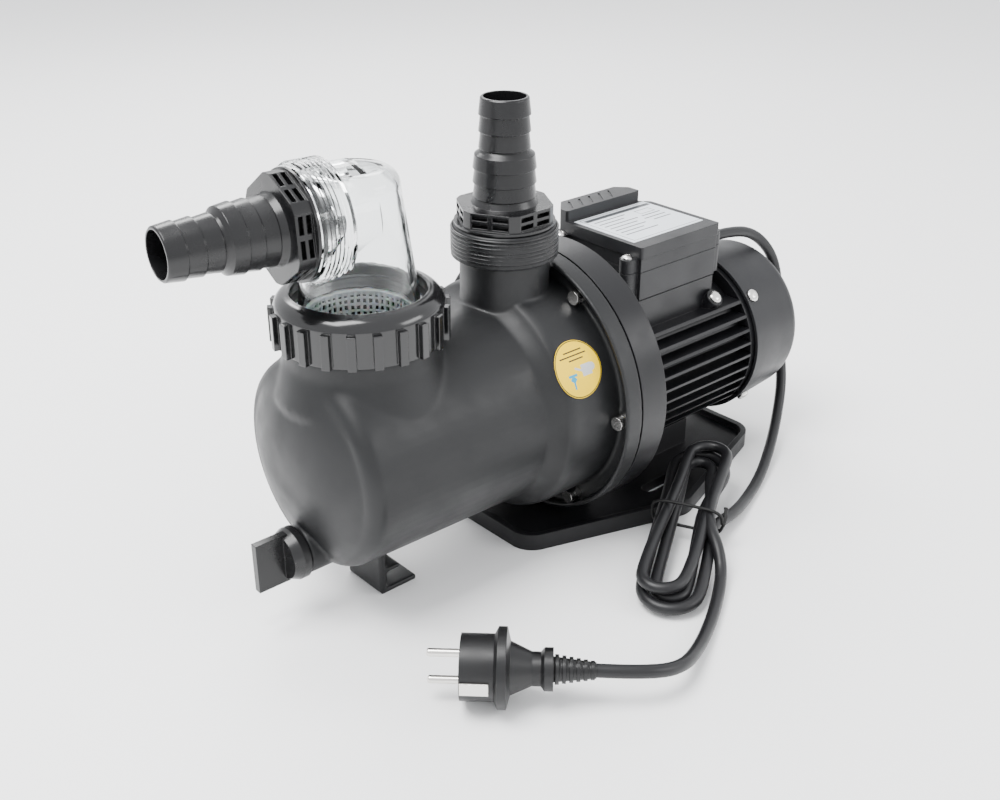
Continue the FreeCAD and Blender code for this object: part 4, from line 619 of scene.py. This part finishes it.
class Drawing:
    """Flat shapes drawn in a shader, each as 1 inside and 0 outside."""

    def __init__(self, shader: Shader, across: bpy.types.NodeSocket, up: bpy.types.NodeSocket,
                 unit: tuple[float, float]) -> None:
        """Starts a drawing.

        Args:
            shader: the material's shader.
            across: coordinate to the right, in metres.
            up: coordinate upwards, in metres.
            unit: metres in one unit of the drawing, to the right and upwards.
        """
        self.shader = shader
        self.across = across
        self.up = up
        self.unit = unit

    def bar(self, x: float, y: float, width: float, height: float,
            turn: float = 0.0) -> bpy.types.NodeSocket:
        """A filled rectangle.

        Args:
            x: centre to the right.
            y: centre upwards.
            width: full width.
            height: full height.
            turn: rotation in degrees.

        Returns:
            The shape.
        """
        make = self.shader.math
        right = make("SUBTRACT", self.across, x * self.unit[0])
        rise = make("SUBTRACT", self.up, y * self.unit[1])
        cosine, sine = math.cos(math.radians(turn)), math.sin(math.radians(turn))
        own_x = make("ADD", make("MULTIPLY", right, cosine), make("MULTIPLY", rise, sine))
        own_y = make("SUBTRACT", make("MULTIPLY", rise, cosine), make("MULTIPLY", right, sine))
        inside_x = make("LESS_THAN", make("ABSOLUTE", own_x), width * self.unit[0] / 2)
        inside_y = make("LESS_THAN", make("ABSOLUTE", own_y), height * self.unit[1] / 2)
        return make("MULTIPLY", inside_x, inside_y)

    def disc(self, x: float, y: float, radius: float) -> bpy.types.NodeSocket:
        """A filled circle.

        Args:
            x: centre to the right.
            y: centre upwards.
            radius: its radius.

        Returns:
            The shape.
        """
        make = self.shader.math
        right = make("SUBTRACT", self.across, x * self.unit[0])
        rise = make("SUBTRACT", self.up, y * self.unit[1])
        square = make("ADD", make("MULTIPLY", right, right), make("MULTIPLY", rise, rise))
        return make("LESS_THAN", square, (radius * self.unit[0]) ** 2)

    def either(self, *shapes: bpy.types.NodeSocket) -> bpy.types.NodeSocket:
        """Joins shapes.

        Args:
            shapes: the shapes.

        Returns:
            Their union.
        """
        total = shapes[0]
        for shape in shapes[1:]:
            total = self.shader.math("MAXIMUM", total, shape)
        return total

    def without(self, shape: bpy.types.NodeSocket, hole: bpy.types.NodeSocket) -> bpy.types.NodeSocket:
        """Cuts a shape out of another.

        Args:
            shape: what stays.
            hole: what is removed.

        Returns:
            The rest.
        """
        return self.shader.math("MULTIPLY", shape, self.shader.math("SUBTRACT", 1.0, hole))


@dataclass(frozen=True)
class RoundSticker:
    """The round printed sticker on the pump chamber: a dark rim and a filling pictogram.

    Attributes:
        ground: colour of the vinyl.
        ink: colour of the print.
        metal: colour of the drawn can.
        water: colour of the drawn funnel.
        centre_x: place along the chamber.
        axis_height: height of the chamber's axis.
        chamber_radius: radius it lies on.
        angle: its direction above -Y, in degrees.
        radius: its own radius.
        drawn_radius: the same radius in the drawing's units.
    """

    ground: Point = (0.84, 0.56, 0.0)
    ink: Point = (0.02, 0.02, 0.02)
    metal: Point = (0.45, 0.46, 0.47)
    water: Point = (0.02, 0.28, 0.45)
    centre_x: float = -0.0995
    axis_height: float = 0.101
    chamber_radius: float = 0.0794
    angle: float = 30.0
    radius: float = 0.0185
    drawn_radius: float = 18.5

    def build(self, name: str) -> bpy.types.Material:
        """Makes the material.

        Args:
            name: the record's slot.

        Returns:
            The material.
        """
        shader = Shader(name)
        x, y, z = shader.axes()
        across = shader.math("SUBTRACT", x, self.centre_x)
        rise = shader.math("SUBTRACT", z, self.axis_height)
        bearing = shader.math("ARCTAN2", rise, shader.math("MULTIPLY", y, -1.0))
        up = shader.math("MULTIPLY", shader.math("SUBTRACT", bearing, math.radians(self.angle)),
                         self.chamber_radius)
        unit = self.radius / self.drawn_radius
        art = Drawing(shader, across, up, (unit, unit))
        rim = art.without(art.disc(0, 0, 18.3), art.disc(0, 0, 17.7))
        lines = [art.bar(shift, height, width, 0.9)
                 for shift, height, width in ((0.0, 11.6, 15.0), (-1.0, 8.8, 22.0), (0.5, 6.0, 12.0))]
        can = [art.bar(6.0, -2.0, 8.0, 7.5), art.bar(-0.2, -0.6, 6.5, 1.4, -28.0), art.disc(10.6, -1.2, 2.6)]
        funnel = art.either(art.bar(-6.2, -3.2, 7.0, 1.6), art.bar(-6.2, -5.6, 3.6, 4.0, 45.0),
                            art.bar(-6.2, -9.4, 1.3, 5.0))
        drawn = shader.mix(art.either(*can), (*self.ground, 1.0), (*self.metal, 1.0))
        watered = shader.mix(funnel, drawn, (*self.water, 1.0))
        print_ink = art.either(rim, *lines)
        shader.put("Base Color", shader.mix(print_ink, watered, (*self.ink, 1.0)))
        shader.put("Specular IOR Level", 0.2)
        shader.put("Roughness", 0.42)
        return shader.material


@dataclass(frozen=True)
class DataPlate:
    """The pale foil label on the terminal box, ruled with plain lines instead of words.

    Attributes:
        ground: colour of the foil.
        ink: colour of the print.
        centre: its middle on the box, X and Y.
        size: its length along X and its width along Y.
        rows: the ruled lines: place up, place across and length, as shares of the label.
        row_height: height of a line as a share of the width.
    """

    ground: Point = (0.72, 0.76, 0.8)
    ink: Point = (0.05, 0.055, 0.06)
    centre: tuple[float, float] = (0.030, 0.0025)
    size: tuple[float, float] = (0.072, 0.057)
    rows: tuple[Point, ...] = (
        (0.28, -0.20, 0.42), (0.19, -0.24, 0.34), (0.10, -0.18, 0.46), (0.01, -0.22, 0.38),
        (-0.08, -0.20, 0.42), (-0.17, -0.25, 0.32), (-0.26, -0.19, 0.44),
        (0.10, 0.24, 0.26), (0.01, 0.22, 0.3), (-0.08, 0.25, 0.24),
    )
    row_height: float = 0.022

    def build(self, name: str) -> bpy.types.Material:
        """Makes the material.

        Args:
            name: the record's slot.

        Returns:
            The material.
        """
        shader = Shader(name)
        x, y, _ = shader.axes()
        across = shader.math("SUBTRACT", x, self.centre[0])
        art = Drawing(shader, across, shader.math("SUBTRACT", y, self.centre[1]), self.size)
        border = art.without(art.bar(0, 0, 0.95, 0.93), art.bar(0, 0, 0.935, 0.91))
        rows = [art.bar(shift, place, wide, self.row_height) for place, shift, wide in self.rows]
        head = art.bar(0, 0.385, 0.9, 0.075)
        boxes = art.without(art.bar(0.25, 0.22, 0.2, 0.13), art.bar(0.25, 0.22, 0.185, 0.105))
        print_ink = art.either(border, head, boxes, *rows)
        shader.put("Base Color", shader.mix(print_ink, (*self.ground, 1.0), (*self.ink, 1.0)))
        shader.put("Metallic", 0.35)
        shader.put("Roughness", 0.36)
        return shader.material


FINISHES = {
    "casing_black": Finish((0.0075, 0.0078, 0.0085), 0.46, bevel=0.0010, dust=0.001, sheen=0.34),
    "nut_black": Finish((0.004, 0.004, 0.0045), 0.17, texture=Texture.SMOOTH, bevel=0.0010, coat=0.2),
    "nozzle_black": Finish((0.005, 0.005, 0.0055), 0.26, depth=0.00002, bevel=0.0007, sheen=0.42),
    "clear_plastic": ClearPlastic(),
    "basket_white": MilkyPlastic(),
    "seal_rubber": Finish((0.006, 0.006, 0.006), 0.55, sheen=0.3),
    "screw_steel": Finish((0.72, 0.71, 0.69), 0.24, 1.0, Texture.BRUSHED, 3000.0, 0.00001, 0.0003),
    "motor_black": Finish((0.005, 0.005, 0.006), 0.36, depth=0.00003, bevel=0.0006, sheen=0.34),
    "cover_black": Finish((0.009, 0.0092, 0.0105), 0.42, depth=0.00004, bevel=0.0008, dust=0.001, sheen=0.36),
    "base_black": Finish((0.006, 0.006, 0.007), 0.42, depth=0.00004, bevel=0.0008, dust=0.001, sheen=0.32),
    "label_silver": DataPlate(),
    "sticker_yellow": RoundSticker(),
    "cord_rubber": Finish((0.008, 0.008, 0.009), 0.42, depth=0.00002, bevel=0.0, sheen=0.35),
    "plug_rubber": Finish((0.006, 0.006, 0.0065), 0.36, depth=0.00003, bevel=0.0008, sheen=0.38),
    "pin_nickel": Finish((0.74, 0.72, 0.68), 0.18, 1.0, Texture.SMOOTH, bevel=0.0004),
    "shaft_steel": Finish((0.55, 0.55, 0.56), 0.25, 1.0, Texture.BRUSHED, 1500.0, 0.00001, 0.0003),
    "core_steel": Finish((0.22, 0.22, 0.24), 0.45, 0.6, Texture.BRUSHED, 1500.0, 0.00002, 0.0004),
    "copper": Finish((0.60, 0.25, 0.10), 0.35, 0.8, Texture.BRUSHED, 1200.0, 0.0001, 0.0004),
    "ceramic": Finish((0.80, 0.78, 0.74), 0.30, texture=Texture.SMOOTH),
    "bearing_steel": Finish((0.66, 0.66, 0.68), 0.16, 1.0, Texture.SMOOTH, bevel=0.0003),
    "inner_plastic": Finish((0.05, 0.05, 0.06), 0.45),
    "capacitor_white": Finish((0.80, 0.80, 0.78), 0.35, texture=Texture.SMOOTH),
}
MATERIALS: dict[str, bpy.types.Material] = {slot: finish.build(slot) for slot, finish in FINISHES.items()}


def finish_cad_nodes() -> None:
    """Gives every CAD node the finish of its slot in the record."""
    for entry in frame["record"]["subparts"]:
        mesh = frame["nodes"][entry["node"]].data
        mesh.materials.clear()
        mesh.materials.append(MATERIALS[entry["material_slot"]])


# ---------------------------------------------------------------- geometry trees

class GeometryTree:
    """A Geometry Nodes tree while it is built, with named inputs."""

    def __init__(self, name: str) -> None:
        """Starts a tree with a geometry output.

        Args:
            name: name of the tree.
        """
        self.tree = bpy.data.node_groups.new(name, "GeometryNodeTree")
        self.tree.interface.new_socket("Geometry", in_out="OUTPUT", socket_type="NodeSocketGeometry")
        self.values: dict[str, object] = {}
        self.group_input = self.tree.nodes.new("NodeGroupInput")
        self.group_output = self.tree.nodes.new("NodeGroupOutput")

    def ask(self, name: str, kind: str, value: object) -> bpy.types.NodeSocket:
        """Adds a named input.

        Args:
            name: name of the input.
            kind: its socket type.
            value: what it is set to on this use.

        Returns:
            The input as an output socket inside the tree.
        """
        socket = self.tree.interface.new_socket(name, in_out="INPUT", socket_type=kind)
        self.values[socket.identifier] = value
        return self.group_input.outputs[name]

    def add(self, kind: str, inputs: dict[str, object] | None = None, **settings: object) -> bpy.types.Node:
        """Adds a node.

        Args:
            kind: type of the node.
            inputs: numbers or sockets for its inputs, by name or index.
            settings: its properties.

        Returns:
            The node.
        """
        node = self.tree.nodes.new(kind)
        for key, value in settings.items():
            setattr(node, key, value)
        for key, value in (inputs or {}).items():
            target = node.inputs[key]
            if isinstance(value, bpy.types.NodeSocket):
                self.tree.links.new(value, target)
            else:
                target.default_value = value
        return node

    def make(self, kind: str, inputs: dict[str, object] | None = None,
             **settings: object) -> bpy.types.NodeSocket:
        """Adds a Geometry Nodes node and returns its first output; kind leaves out "GeometryNode"."""
        return self.add("GeometryNode" + kind, inputs, **settings).outputs[0]

    def vector(self, x: object, y: object, z: object) -> bpy.types.NodeSocket:
        """Joins three numbers or sockets to a vector."""
        return self.add("ShaderNodeCombineXYZ", {0: x, 1: y, 2: z}).outputs[0]

    def calc(self, kind: str, first: object, second: object) -> bpy.types.NodeSocket:
        """Adds a math node and returns its result."""
        return self.add("ShaderNodeMath", {0: first, 1: second}, operation=kind).outputs[0]

    def run(self, count: bpy.types.NodeSocket, low: float, high: float) -> bpy.types.NodeSocket:
        """Returns a field that goes evenly from low to high over count points."""
        share = self.calc("DIVIDE", self.make("InputIndex"), self.calc("SUBTRACT", count, 1.0))
        return self.add("ShaderNodeMapRange", {0: share, 3: low, 4: high}).outputs[0]

    def circle(self, radius: object, points: int) -> bpy.types.NodeSocket:
        """Adds a circle as a curve."""
        return self.make("CurvePrimitiveCircle", {"Radius": radius, "Resolution": points})

    def sweep(self, path: bpy.types.NodeSocket, section: bpy.types.NodeSocket) -> bpy.types.NodeSocket:
        """Sweeps a section along a path."""
        return self.make("CurveToMesh", {"Curve": path, "Profile Curve": section})

    def copies(self, points: bpy.types.NodeSocket, piece: bpy.types.NodeSocket,
               **placing: bpy.types.NodeSocket) -> bpy.types.NodeSocket:
        """Puts a copy of a piece on each point, with the Rotation or Scale given."""
        return self.make("InstanceOnPoints", {"Points": points, "Instance": piece, **placing})

    def move(self, piece: bpy.types.NodeSocket, translation: object = None, rotation: object = None,
             scale: object = None) -> bpy.types.NodeSocket:
        """Scales, turns and then moves a piece."""
        placing = {"Translation": translation, "Rotation": rotation, "Scale": scale}
        given = {key: value for key, value in placing.items() if value is not None}
        return self.make("Transform", {"Geometry": piece, **given})

    def join(self, *pieces: bpy.types.NodeSocket) -> bpy.types.NodeSocket:
        """Joins pieces in the order given."""
        node = self.add("GeometryNodeJoinGeometry")
        for piece in pieces:
            self.tree.links.new(piece, node.inputs[0])
        return node.outputs[0]

    def bake(self, name: str, instances: bpy.types.NodeSocket,
             material: bpy.types.Material) -> bpy.types.Object:
        """Ends the tree, runs it on an empty mesh and keeps the result as a plain mesh.

        Args:
            name: name of the piece.
            instances: the tree's geometry.
            material: its finish.

        Returns:
            The finished object.
        """
        chosen = self.ask("Finish", "NodeSocketMaterial", material)
        real = self.add("GeometryNodeRealizeInstances", {0: instances})
        painted = self.add("GeometryNodeSetMaterial", {"Geometry": real.outputs[0], "Material": chosen})
        self.tree.links.new(painted.outputs[0], self.group_output.inputs[0])
        carrier = bpy.data.objects.new(name, bpy.data.meshes.new(name + "_seed"))
        bpy.context.scene.collection.objects.link(carrier)
        modifier = carrier.modifiers.new("Nodes", "NODES")
        modifier.node_group = self.tree
        for identifier, value in self.values.items():
            modifier[identifier] = value
        bpy.context.view_layer.update()
        mesh = bpy.data.meshes.new_from_object(carrier.evaluated_get(bpy.context.evaluated_depsgraph_get()))
        carrier.modifiers.remove(modifier)
        carrier.data = mesh
        return carrier


@dataclass(frozen=True)
class ScrewSeat:
    """Where a screw head sits and the way it faces."""

    place: Point
    facing: Point


@dataclass
class ScrewHeads:
    """A set of pan heads with a cross recess, one per seat, each turned by chance.

    Attributes:
        name: name of the piece.
        seats: the screws.
        radius: radius of a head.
        height: height of a head.
        pad: height of the washer under each head, 0 for none.
        arm_length: length of a recess arm as a share of the radius.
        arm_width: its width as a share of the radius.
        arm_depth: its depth as a share of the height.
        pad_share: radius of the washer as a share of the radius.
        seed: seed of the turning.
    """

    name: str
    seats: tuple[ScrewSeat, ...]
    radius: float
    height: float
    pad: float = 0.0
    arm_length: float = 1.05
    arm_width: float = 0.27
    arm_depth: float = 1.1
    pad_share: float = 0.96
    seed: int = 7

    def build(self) -> bpy.types.Object:
        """Adds the heads.

        Returns:
            The piece, riding on the pump.
        """
        tree = GeometryTree(self.name)
        radius = tree.ask("Head radius", "NodeSocketFloat", self.radius)
        height = tree.ask("Head height", "NodeSocketFloat", self.height)
        seed = tree.ask("Seed", "NodeSocketInt", self.seed)
        ball = tree.make("MeshUVSphere", {"Segments": 40, "Rings": 20, "Radius": 1.0})
        head = tree.move(ball, scale=tree.vector(radius, radius, height))
        long_arm = tree.calc("MULTIPLY", radius, self.arm_length)
        thin_arm = tree.calc("MULTIPLY", radius, self.arm_width)
        deep = tree.calc("MULTIPLY", height, self.arm_depth)
        for size in ((long_arm, thin_arm, deep), (thin_arm, long_arm, deep)):
            box = tree.make("MeshCube", {"Size": tree.vector(*size)})
            arm = tree.move(box, tree.vector(0.0, 0.0, height))
            head = tree.make("MeshBoolean", {0: head, 1: arm}, operation="DIFFERENCE", solver="EXACT")
        if self.pad:
            washer = tree.make("MeshCylinder", {"Vertices": 32, "Radius": self.radius * self.pad_share,
                                                "Depth": self.pad * 2})
            head = tree.join(head, washer)
        placed = []
        for index, seat in enumerate(self.seats):
            facing = Vector(seat.facing).normalized()
            turn = Vector((0.0, 0.0, 1.0)).rotation_difference(facing).to_euler()
            chance = {"Seed": seed, "ID": index, 2: 0.0, 3: math.pi}
            spin = tree.add("FunctionNodeRandomValue", chance, data_type="FLOAT").outputs[1]
            spun = tree.move(head, rotation=tree.vector(0.0, 0.0, spin))
            placed.append(tree.move(spun, seat.place, turn))
        heads = tree.bake(self.name, tree.join(*placed), MATERIALS["screw_steel"])
        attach(heads, "pump")
        return heads


@dataclass
class Basket:
    """The strainer basket: a tapered wall of bars and rings, a closed floor and a rim.

    Attributes:
        axis_x: vertical axis of the strainer.
        low_radius: wall radius at the floor.
        high_radius: wall radius at the rim.
        bars: how many upright bars.
        rings: how many rings.
        thickness: width of a bar.
        rim_width: width of the rim.
        rim_height: height of the rim.
        rim_reach: distance of the rim's middle from the wall.
    """

    axis_x: float = -0.2132
    low_radius: float = 0.029
    high_radius: float = 0.034
    bars: int = 54
    rings: int = 30
    thickness: float = 0.0016
    rim_width: float = 0.006
    rim_height: float = 0.002
    rim_reach: float = 0.0026

    def build(self) -> bpy.types.Object:
        """Adds the basket.

        Returns:
            The piece, riding on the basket's body.
        """
        low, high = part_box("strainer_basket")
        height = high.z - low.z
        tree = GeometryTree("Basket")
        bars = tree.ask("Bars", "NodeSocketInt", self.bars)
        rings = tree.ask("Rings", "NodeSocketInt", self.rings)
        thick = tree.ask("Thickness", "NodeSocketFloat", self.thickness)
        slope = math.atan2(self.high_radius - self.low_radius, height)
        bar = tree.make("MeshCube", {"Size": tree.vector(thick, thick, height / math.cos(slope))})
        leaning = tree.move(bar, ((self.low_radius + self.high_radius) / 2, 0.0, 0.0), (0.0, slope, 0.0))
        foot = tree.make("MeshLine", {"Count": bars, "Offset": ORIGIN})
        step = tree.calc("DIVIDE", 2 * math.pi, bars)
        angle = tree.calc("MULTIPLY", tree.make("InputIndex"), step)
        upright = tree.copies(foot, leaning, Rotation=tree.vector(0.0, 0.0, angle))
        level = tree.run(rings, -height / 2, height / 2)
        wide = tree.run(rings, self.low_radius, self.high_radius)
        stack = tree.make("MeshLine", {"Count": rings, "Offset": ORIGIN})
        placed = tree.make("SetPosition", {"Geometry": stack, "Position": tree.vector(0.0, 0.0, level)})
        hoops = tree.copies(placed, tree.circle(1.0, 72), Scale=tree.vector(wide, wide, 1.0))
        loose = tree.make("RealizeInstances", {0: hoops})
        wires = tree.sweep(loose, tree.circle(tree.calc("MULTIPLY", thick, 0.5), 6))
        disc = tree.make("MeshCylinder", {"Vertices": 64, "Radius": self.low_radius, "Depth": self.thickness})
        bottom = tree.move(disc, (0.0, 0.0, -height / 2))
        flat = tree.make("CurvePrimitiveQuadrilateral", {"Width": self.rim_width, "Height": self.rim_height})
        rim = tree.sweep(tree.circle(self.high_radius + self.rim_reach, 72), flat)
        top = tree.move(rim, (0.0, 0.0, (height - self.rim_height) / 2))
        joined = tree.join(upright, wires, bottom, top)
        whole = tree.move(joined, (self.axis_x, 0.0, (low.z + high.z) / 2))
        basket = tree.bake("StrainerBasket", whole, MATERIALS["basket_white"])
        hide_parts("strainer_basket")
        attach(basket, "basket")
        return basket


@dataclass
class StrainRelief:
    """The ribbed, tapered sleeve where the lead enters the plug.

    Attributes:
        start: where the cord enters.
        heading: direction towards the plug, in degrees.
        length: length of the sleeve.
        thin: radius at the cord.
        thick: radius at the plug.
        thin_groove: depth of the grooves at the cord.
        thick_groove: depth of the grooves at the plug.
        ribs: how many ribs.
        rib_share: thickness of a rib as a share of their spacing.
    """

    start: Point = (-0.192, -0.181, 0.0233)
    heading: float = 135.9
    length: float = 0.024
    thin: float = 0.0054
    thick: float = 0.0084
    thin_groove: float = 0.0008
    thick_groove: float = 0.0012
    ribs: int = 6
    rib_share: float = 0.55

    def build(self) -> bpy.types.Object:
        """Adds the sleeve.

        Returns:
            The piece, riding on the pump.
        """
        tree = GeometryTree("StrainRelief")
        ribs = tree.ask("Ribs", "NodeSocketInt", self.ribs)
        core = tree.make("MeshCone", {"Vertices": 48, "Radius Bottom": self.thin - self.thin_groove,
                                      "Radius Top": self.thick - self.thick_groove, "Depth": self.length})
        pitch = self.length / self.ribs
        rib = tree.make("MeshCylinder", {"Vertices": 48, "Radius": 1.0, "Depth": pitch * self.rib_share})
        line = tree.make("MeshLine", {"Count": ribs, "Start Location": (0.0, 0.0, pitch / 2),
                                      "Offset": (0.0, 0.0, pitch)})
        wide = tree.run(ribs, self.thin, self.thick)
        rings = tree.copies(line, rib, Scale=tree.vector(wide, wide, 1.0))
        bearing = math.radians(self.heading)
        along = Vector((math.cos(bearing), math.sin(bearing), 0.0))
        turn = along.to_track_quat("Z", "Y").to_euler()
        whole = tree.move(tree.join(core, rings), self.start, turn)
        relief = tree.bake("StrainRelief", whole, MATERIALS["plug_rubber"])
        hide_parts("plug_strain_relief")
        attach(relief, "pump")
        return relief


@dataclass
class PortThread:
    """The thread on the discharge port, as a stack of rings.

    Attributes:
        axis: X and Y of the port.
        foot: height of the lowest ring.
        top: height of the highest ring.
        radius: radius of the rings' centres.
        count: how many rings.
        thickness: thickness of a ring.
    """

    axis: tuple[float, float] = (-0.100, 0.0)
    foot: float = 0.2020
    top: float = 0.2165
    radius: float = 0.0335
    count: int = 7
    thickness: float = 0.0018

    def build(self) -> bpy.types.Object:
        """Adds the rings.

        Returns:
            The piece, riding on the pump.
        """
        tree = GeometryTree("PortThread")
        count = tree.ask("Rings", "NodeSocketInt", self.count)
        radius = tree.ask("Radius", "NodeSocketFloat", self.radius)
        step = (self.top - self.foot) / (self.count - 1)
        ring = tree.sweep(tree.circle(radius, 96), tree.circle(self.thickness / 2, 8))
        stack = tree.make("MeshLine", {"Count": count, "Start Location": (*self.axis, self.foot),
                                       "Offset": (0.0, 0.0, step)})
        smooth = tree.make("SetShadeSmooth", {0: tree.copies(stack, ring)})
        thread = tree.bake("PortThread", smooth, MATERIALS["nozzle_black"])
        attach(thread, "pump")
        return thread


# ---------------------------------------------------------------- blended casing

@dataclass
class CasingSkin:
    """The pump casing as one moulding, with a soft blend at the foot of its neck.

    Attributes:
        cell: size of the remeshed cells.
        passes: smoothing passes over the whole surface.
        strength: strength of each of them.
        foot_passes: extra passes round the foot of the neck.
        foot_strength: strength of each of those.
        foot: heights between which they work.
        foot_slope: how fast they fade in from those heights.
        behind: X beyond which they stop.
        keep: share of the triangles kept.
    """

    cell: float = 0.0011
    passes: int = 3
    strength: float = 0.5
    foot_passes: int = 45
    foot_strength: float = 0.6
    foot: tuple[float, float] = (0.136, 0.172)
    foot_slope: float = 2.0
    behind: float = -0.142
    keep: float = 0.42

    def build(self) -> bpy.types.Object:
        """Adds the casing.

        Returns:
            The piece, riding on the pump.
        """
        source = frame["nodes"]["pump_casing"]
        skin = bpy.data.objects.new("CasingSkin", source.data.copy())
        bpy.context.scene.collection.objects.link(skin)
        remesh = skin.modifiers.new("Remesh", "REMESH")
        remesh.mode = "VOXEL"
        remesh.voxel_size = self.cell
        self.flatten(skin)
        group = skin.vertex_groups.new(name="foot")
        middle = (self.foot[0] + self.foot[1]) / 2
        reach = (self.foot[1] - self.foot[0]) / 2
        for vertex in skin.data.vertices:
            share = 1.0 - abs(vertex.co.z - middle) / reach
            if share > 0.0 and vertex.co.x < self.behind:
                group.add([vertex.index], min(1.0, share * self.foot_slope), "REPLACE")
        whole = skin.modifiers.new("Smooth", "SMOOTH")
        whole.factor = self.strength
        whole.iterations = self.passes
        blend = skin.modifiers.new("Blend", "SMOOTH")
        blend.factor = self.foot_strength
        blend.iterations = self.foot_passes
        blend.vertex_group = "foot"
        thin = skin.modifiers.new("Thin", "DECIMATE")
        thin.ratio = self.keep
        self.flatten(skin)
        skin.vertex_groups.clear()
        skin.data.materials.clear()
        skin.data.materials.append(MATERIALS["casing_black"])
        skin.data.shade_smooth()
        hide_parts("pump_casing")
        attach(skin, "pump")
        log.info("casing skin: %d faces", len(skin.data.polygons))
        return skin

    @staticmethod
    def flatten(skin: bpy.types.Object) -> None:
        """Turns the object's modifiers into its mesh.

        Args:
            skin: the object.
        """
        bpy.context.view_layer.update()
        shaped = skin.evaluated_get(bpy.context.evaluated_depsgraph_get())
        skin.data = bpy.data.meshes.new_from_object(shaped)
        skin.modifiers.clear()


# ---------------------------------------------------------------- studio

@dataclass(frozen=True)
class Softbox:
    """A rectangular light that looks at a point."""

    name: str
    location: Point
    width: float
    height: float
    power: float
    target: Point = (-0.05, 0.0, 0.12)

    def build(self) -> None:
        """Adds the light."""
        data = bpy.data.lights.new(self.name, "AREA")
        data.shape = "RECTANGLE"
        data.size = self.width
        data.size_y = self.height
        data.energy = self.power
        light = bpy.data.objects.new(self.name, data)
        light.location = self.location
        aim = Vector(self.target) - Vector(self.location)
        light.rotation_euler = aim.to_track_quat("-Z", "Y").to_euler()
        bpy.context.scene.collection.objects.link(light)


@dataclass
class Studio:
    """A pale floor, a soft sky and three softboxes.

    Attributes:
        floor_size: side of the floor.
        floor_color: its colour.
        sky: strength of the even light.
        lights: the softboxes.
    """

    floor_size: float = 12.0
    floor_color: Point = (0.95, 0.95, 0.95)
    sky: float = 1.7
    lights: tuple[Softbox, ...] = (
        Softbox("Key", (-0.7, 0.1, 1.5), 0.9, 0.9, 46.0),
        Softbox("Fill", (0.9, -1.4, 0.9), 1.0, 0.5, 12.0),
        Softbox("Rim", (0.5, 1.3, 1.3), 1.2, 0.5, 26.0),
    )

    def build(self) -> None:
        """Adds the floor and the lights."""
        half = self.floor_size / 2
        mesh = bpy.data.meshes.new("Floor")
        mesh.from_pydata([(-half, -half, 0.0), (half, -half, 0.0), (half, half, 0.0), (-half, half, 0.0)], [],
                         [(0, 1, 2, 3)])
        shader = Shader("Floor")
        shader.put("Base Color", (*self.floor_color, 1.0))
        shader.put("Roughness", 0.8)
        mesh.materials.append(shader.material)
        floor = bpy.data.objects.new("Floor", mesh)
        bpy.context.scene.collection.objects.link(floor)
        world = bpy.data.worlds.new("Sky")
        world.use_nodes = True
        background = world.node_tree.nodes["Background"]
        background.inputs["Color"].default_value = (0.97, 0.98, 1.0, 1.0)
        background.inputs["Strength"].default_value = self.sky
        bpy.context.scene.world = world
        for light in self.lights:
            light.build()


# ---------------------------------------------------------------- the pump

def flange_seats() -> tuple[ScrewSeat, ...]:
    """Returns the casing screws on their circle, a little in front of the CAD node's box."""
    low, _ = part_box("casing_screws")
    count, circle, axis_height, forward = 6, 0.0846, 0.101, 0.0022
    seats = []
    for index in range(count):
        angle = math.radians(360.0 / count * index)
        place = (low.x - forward, -circle * math.cos(angle), axis_height + circle * math.sin(angle))
        seats.append(ScrewSeat(place, (-1.0, 0.0, 0.0)))
    return tuple(seats)


def corner_seats(node: str, inset: float, height: float) -> tuple[ScrewSeat, ...]:
    """Seats of four upright screws at the corners of a CAD node's box.

    Args:
        node: the CAD node with the screws.
        inset: distance of a screw's axis from the box's sides.
        height: height of a head.

    Returns:
        The four seats.
    """
    low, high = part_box(node)
    return tuple(ScrewSeat((x, y, high.z - height), (0.0, 0.0, 1.0))
                 for x in (low.x + inset, high.x - inset) for y in (low.y + inset, high.y - inset))


def report(piece: bpy.types.Object) -> None:
    """Logs a finished piece.

    Args:
        piece: the object.
    """
    log.info("built %s", piece.name)


def main() -> None:
    """Builds the camera, the studio and the pump's pieces."""
    CameraSetup().build()
    Studio().build()
    finish_cad_nodes()
    lead = MainsLead()
    report(lead.build())
    report(lead.build_tie())
    report(StrainRelief().build())
    report(CasingSkin().build())
    report(PortThread().build())
    report(Basket().build())
    report(ScrewHeads("FlangeScrews", flange_seats(), radius=0.0048, height=0.0031, pad=0.0049).build())
    box_seats = corner_seats("terminal_box_screws", inset=0.0043, height=0.0028)
    report(ScrewHeads("BoxScrews", box_seats, radius=0.0044, height=0.0029).build())


if __name__ == "__main__":
    main()
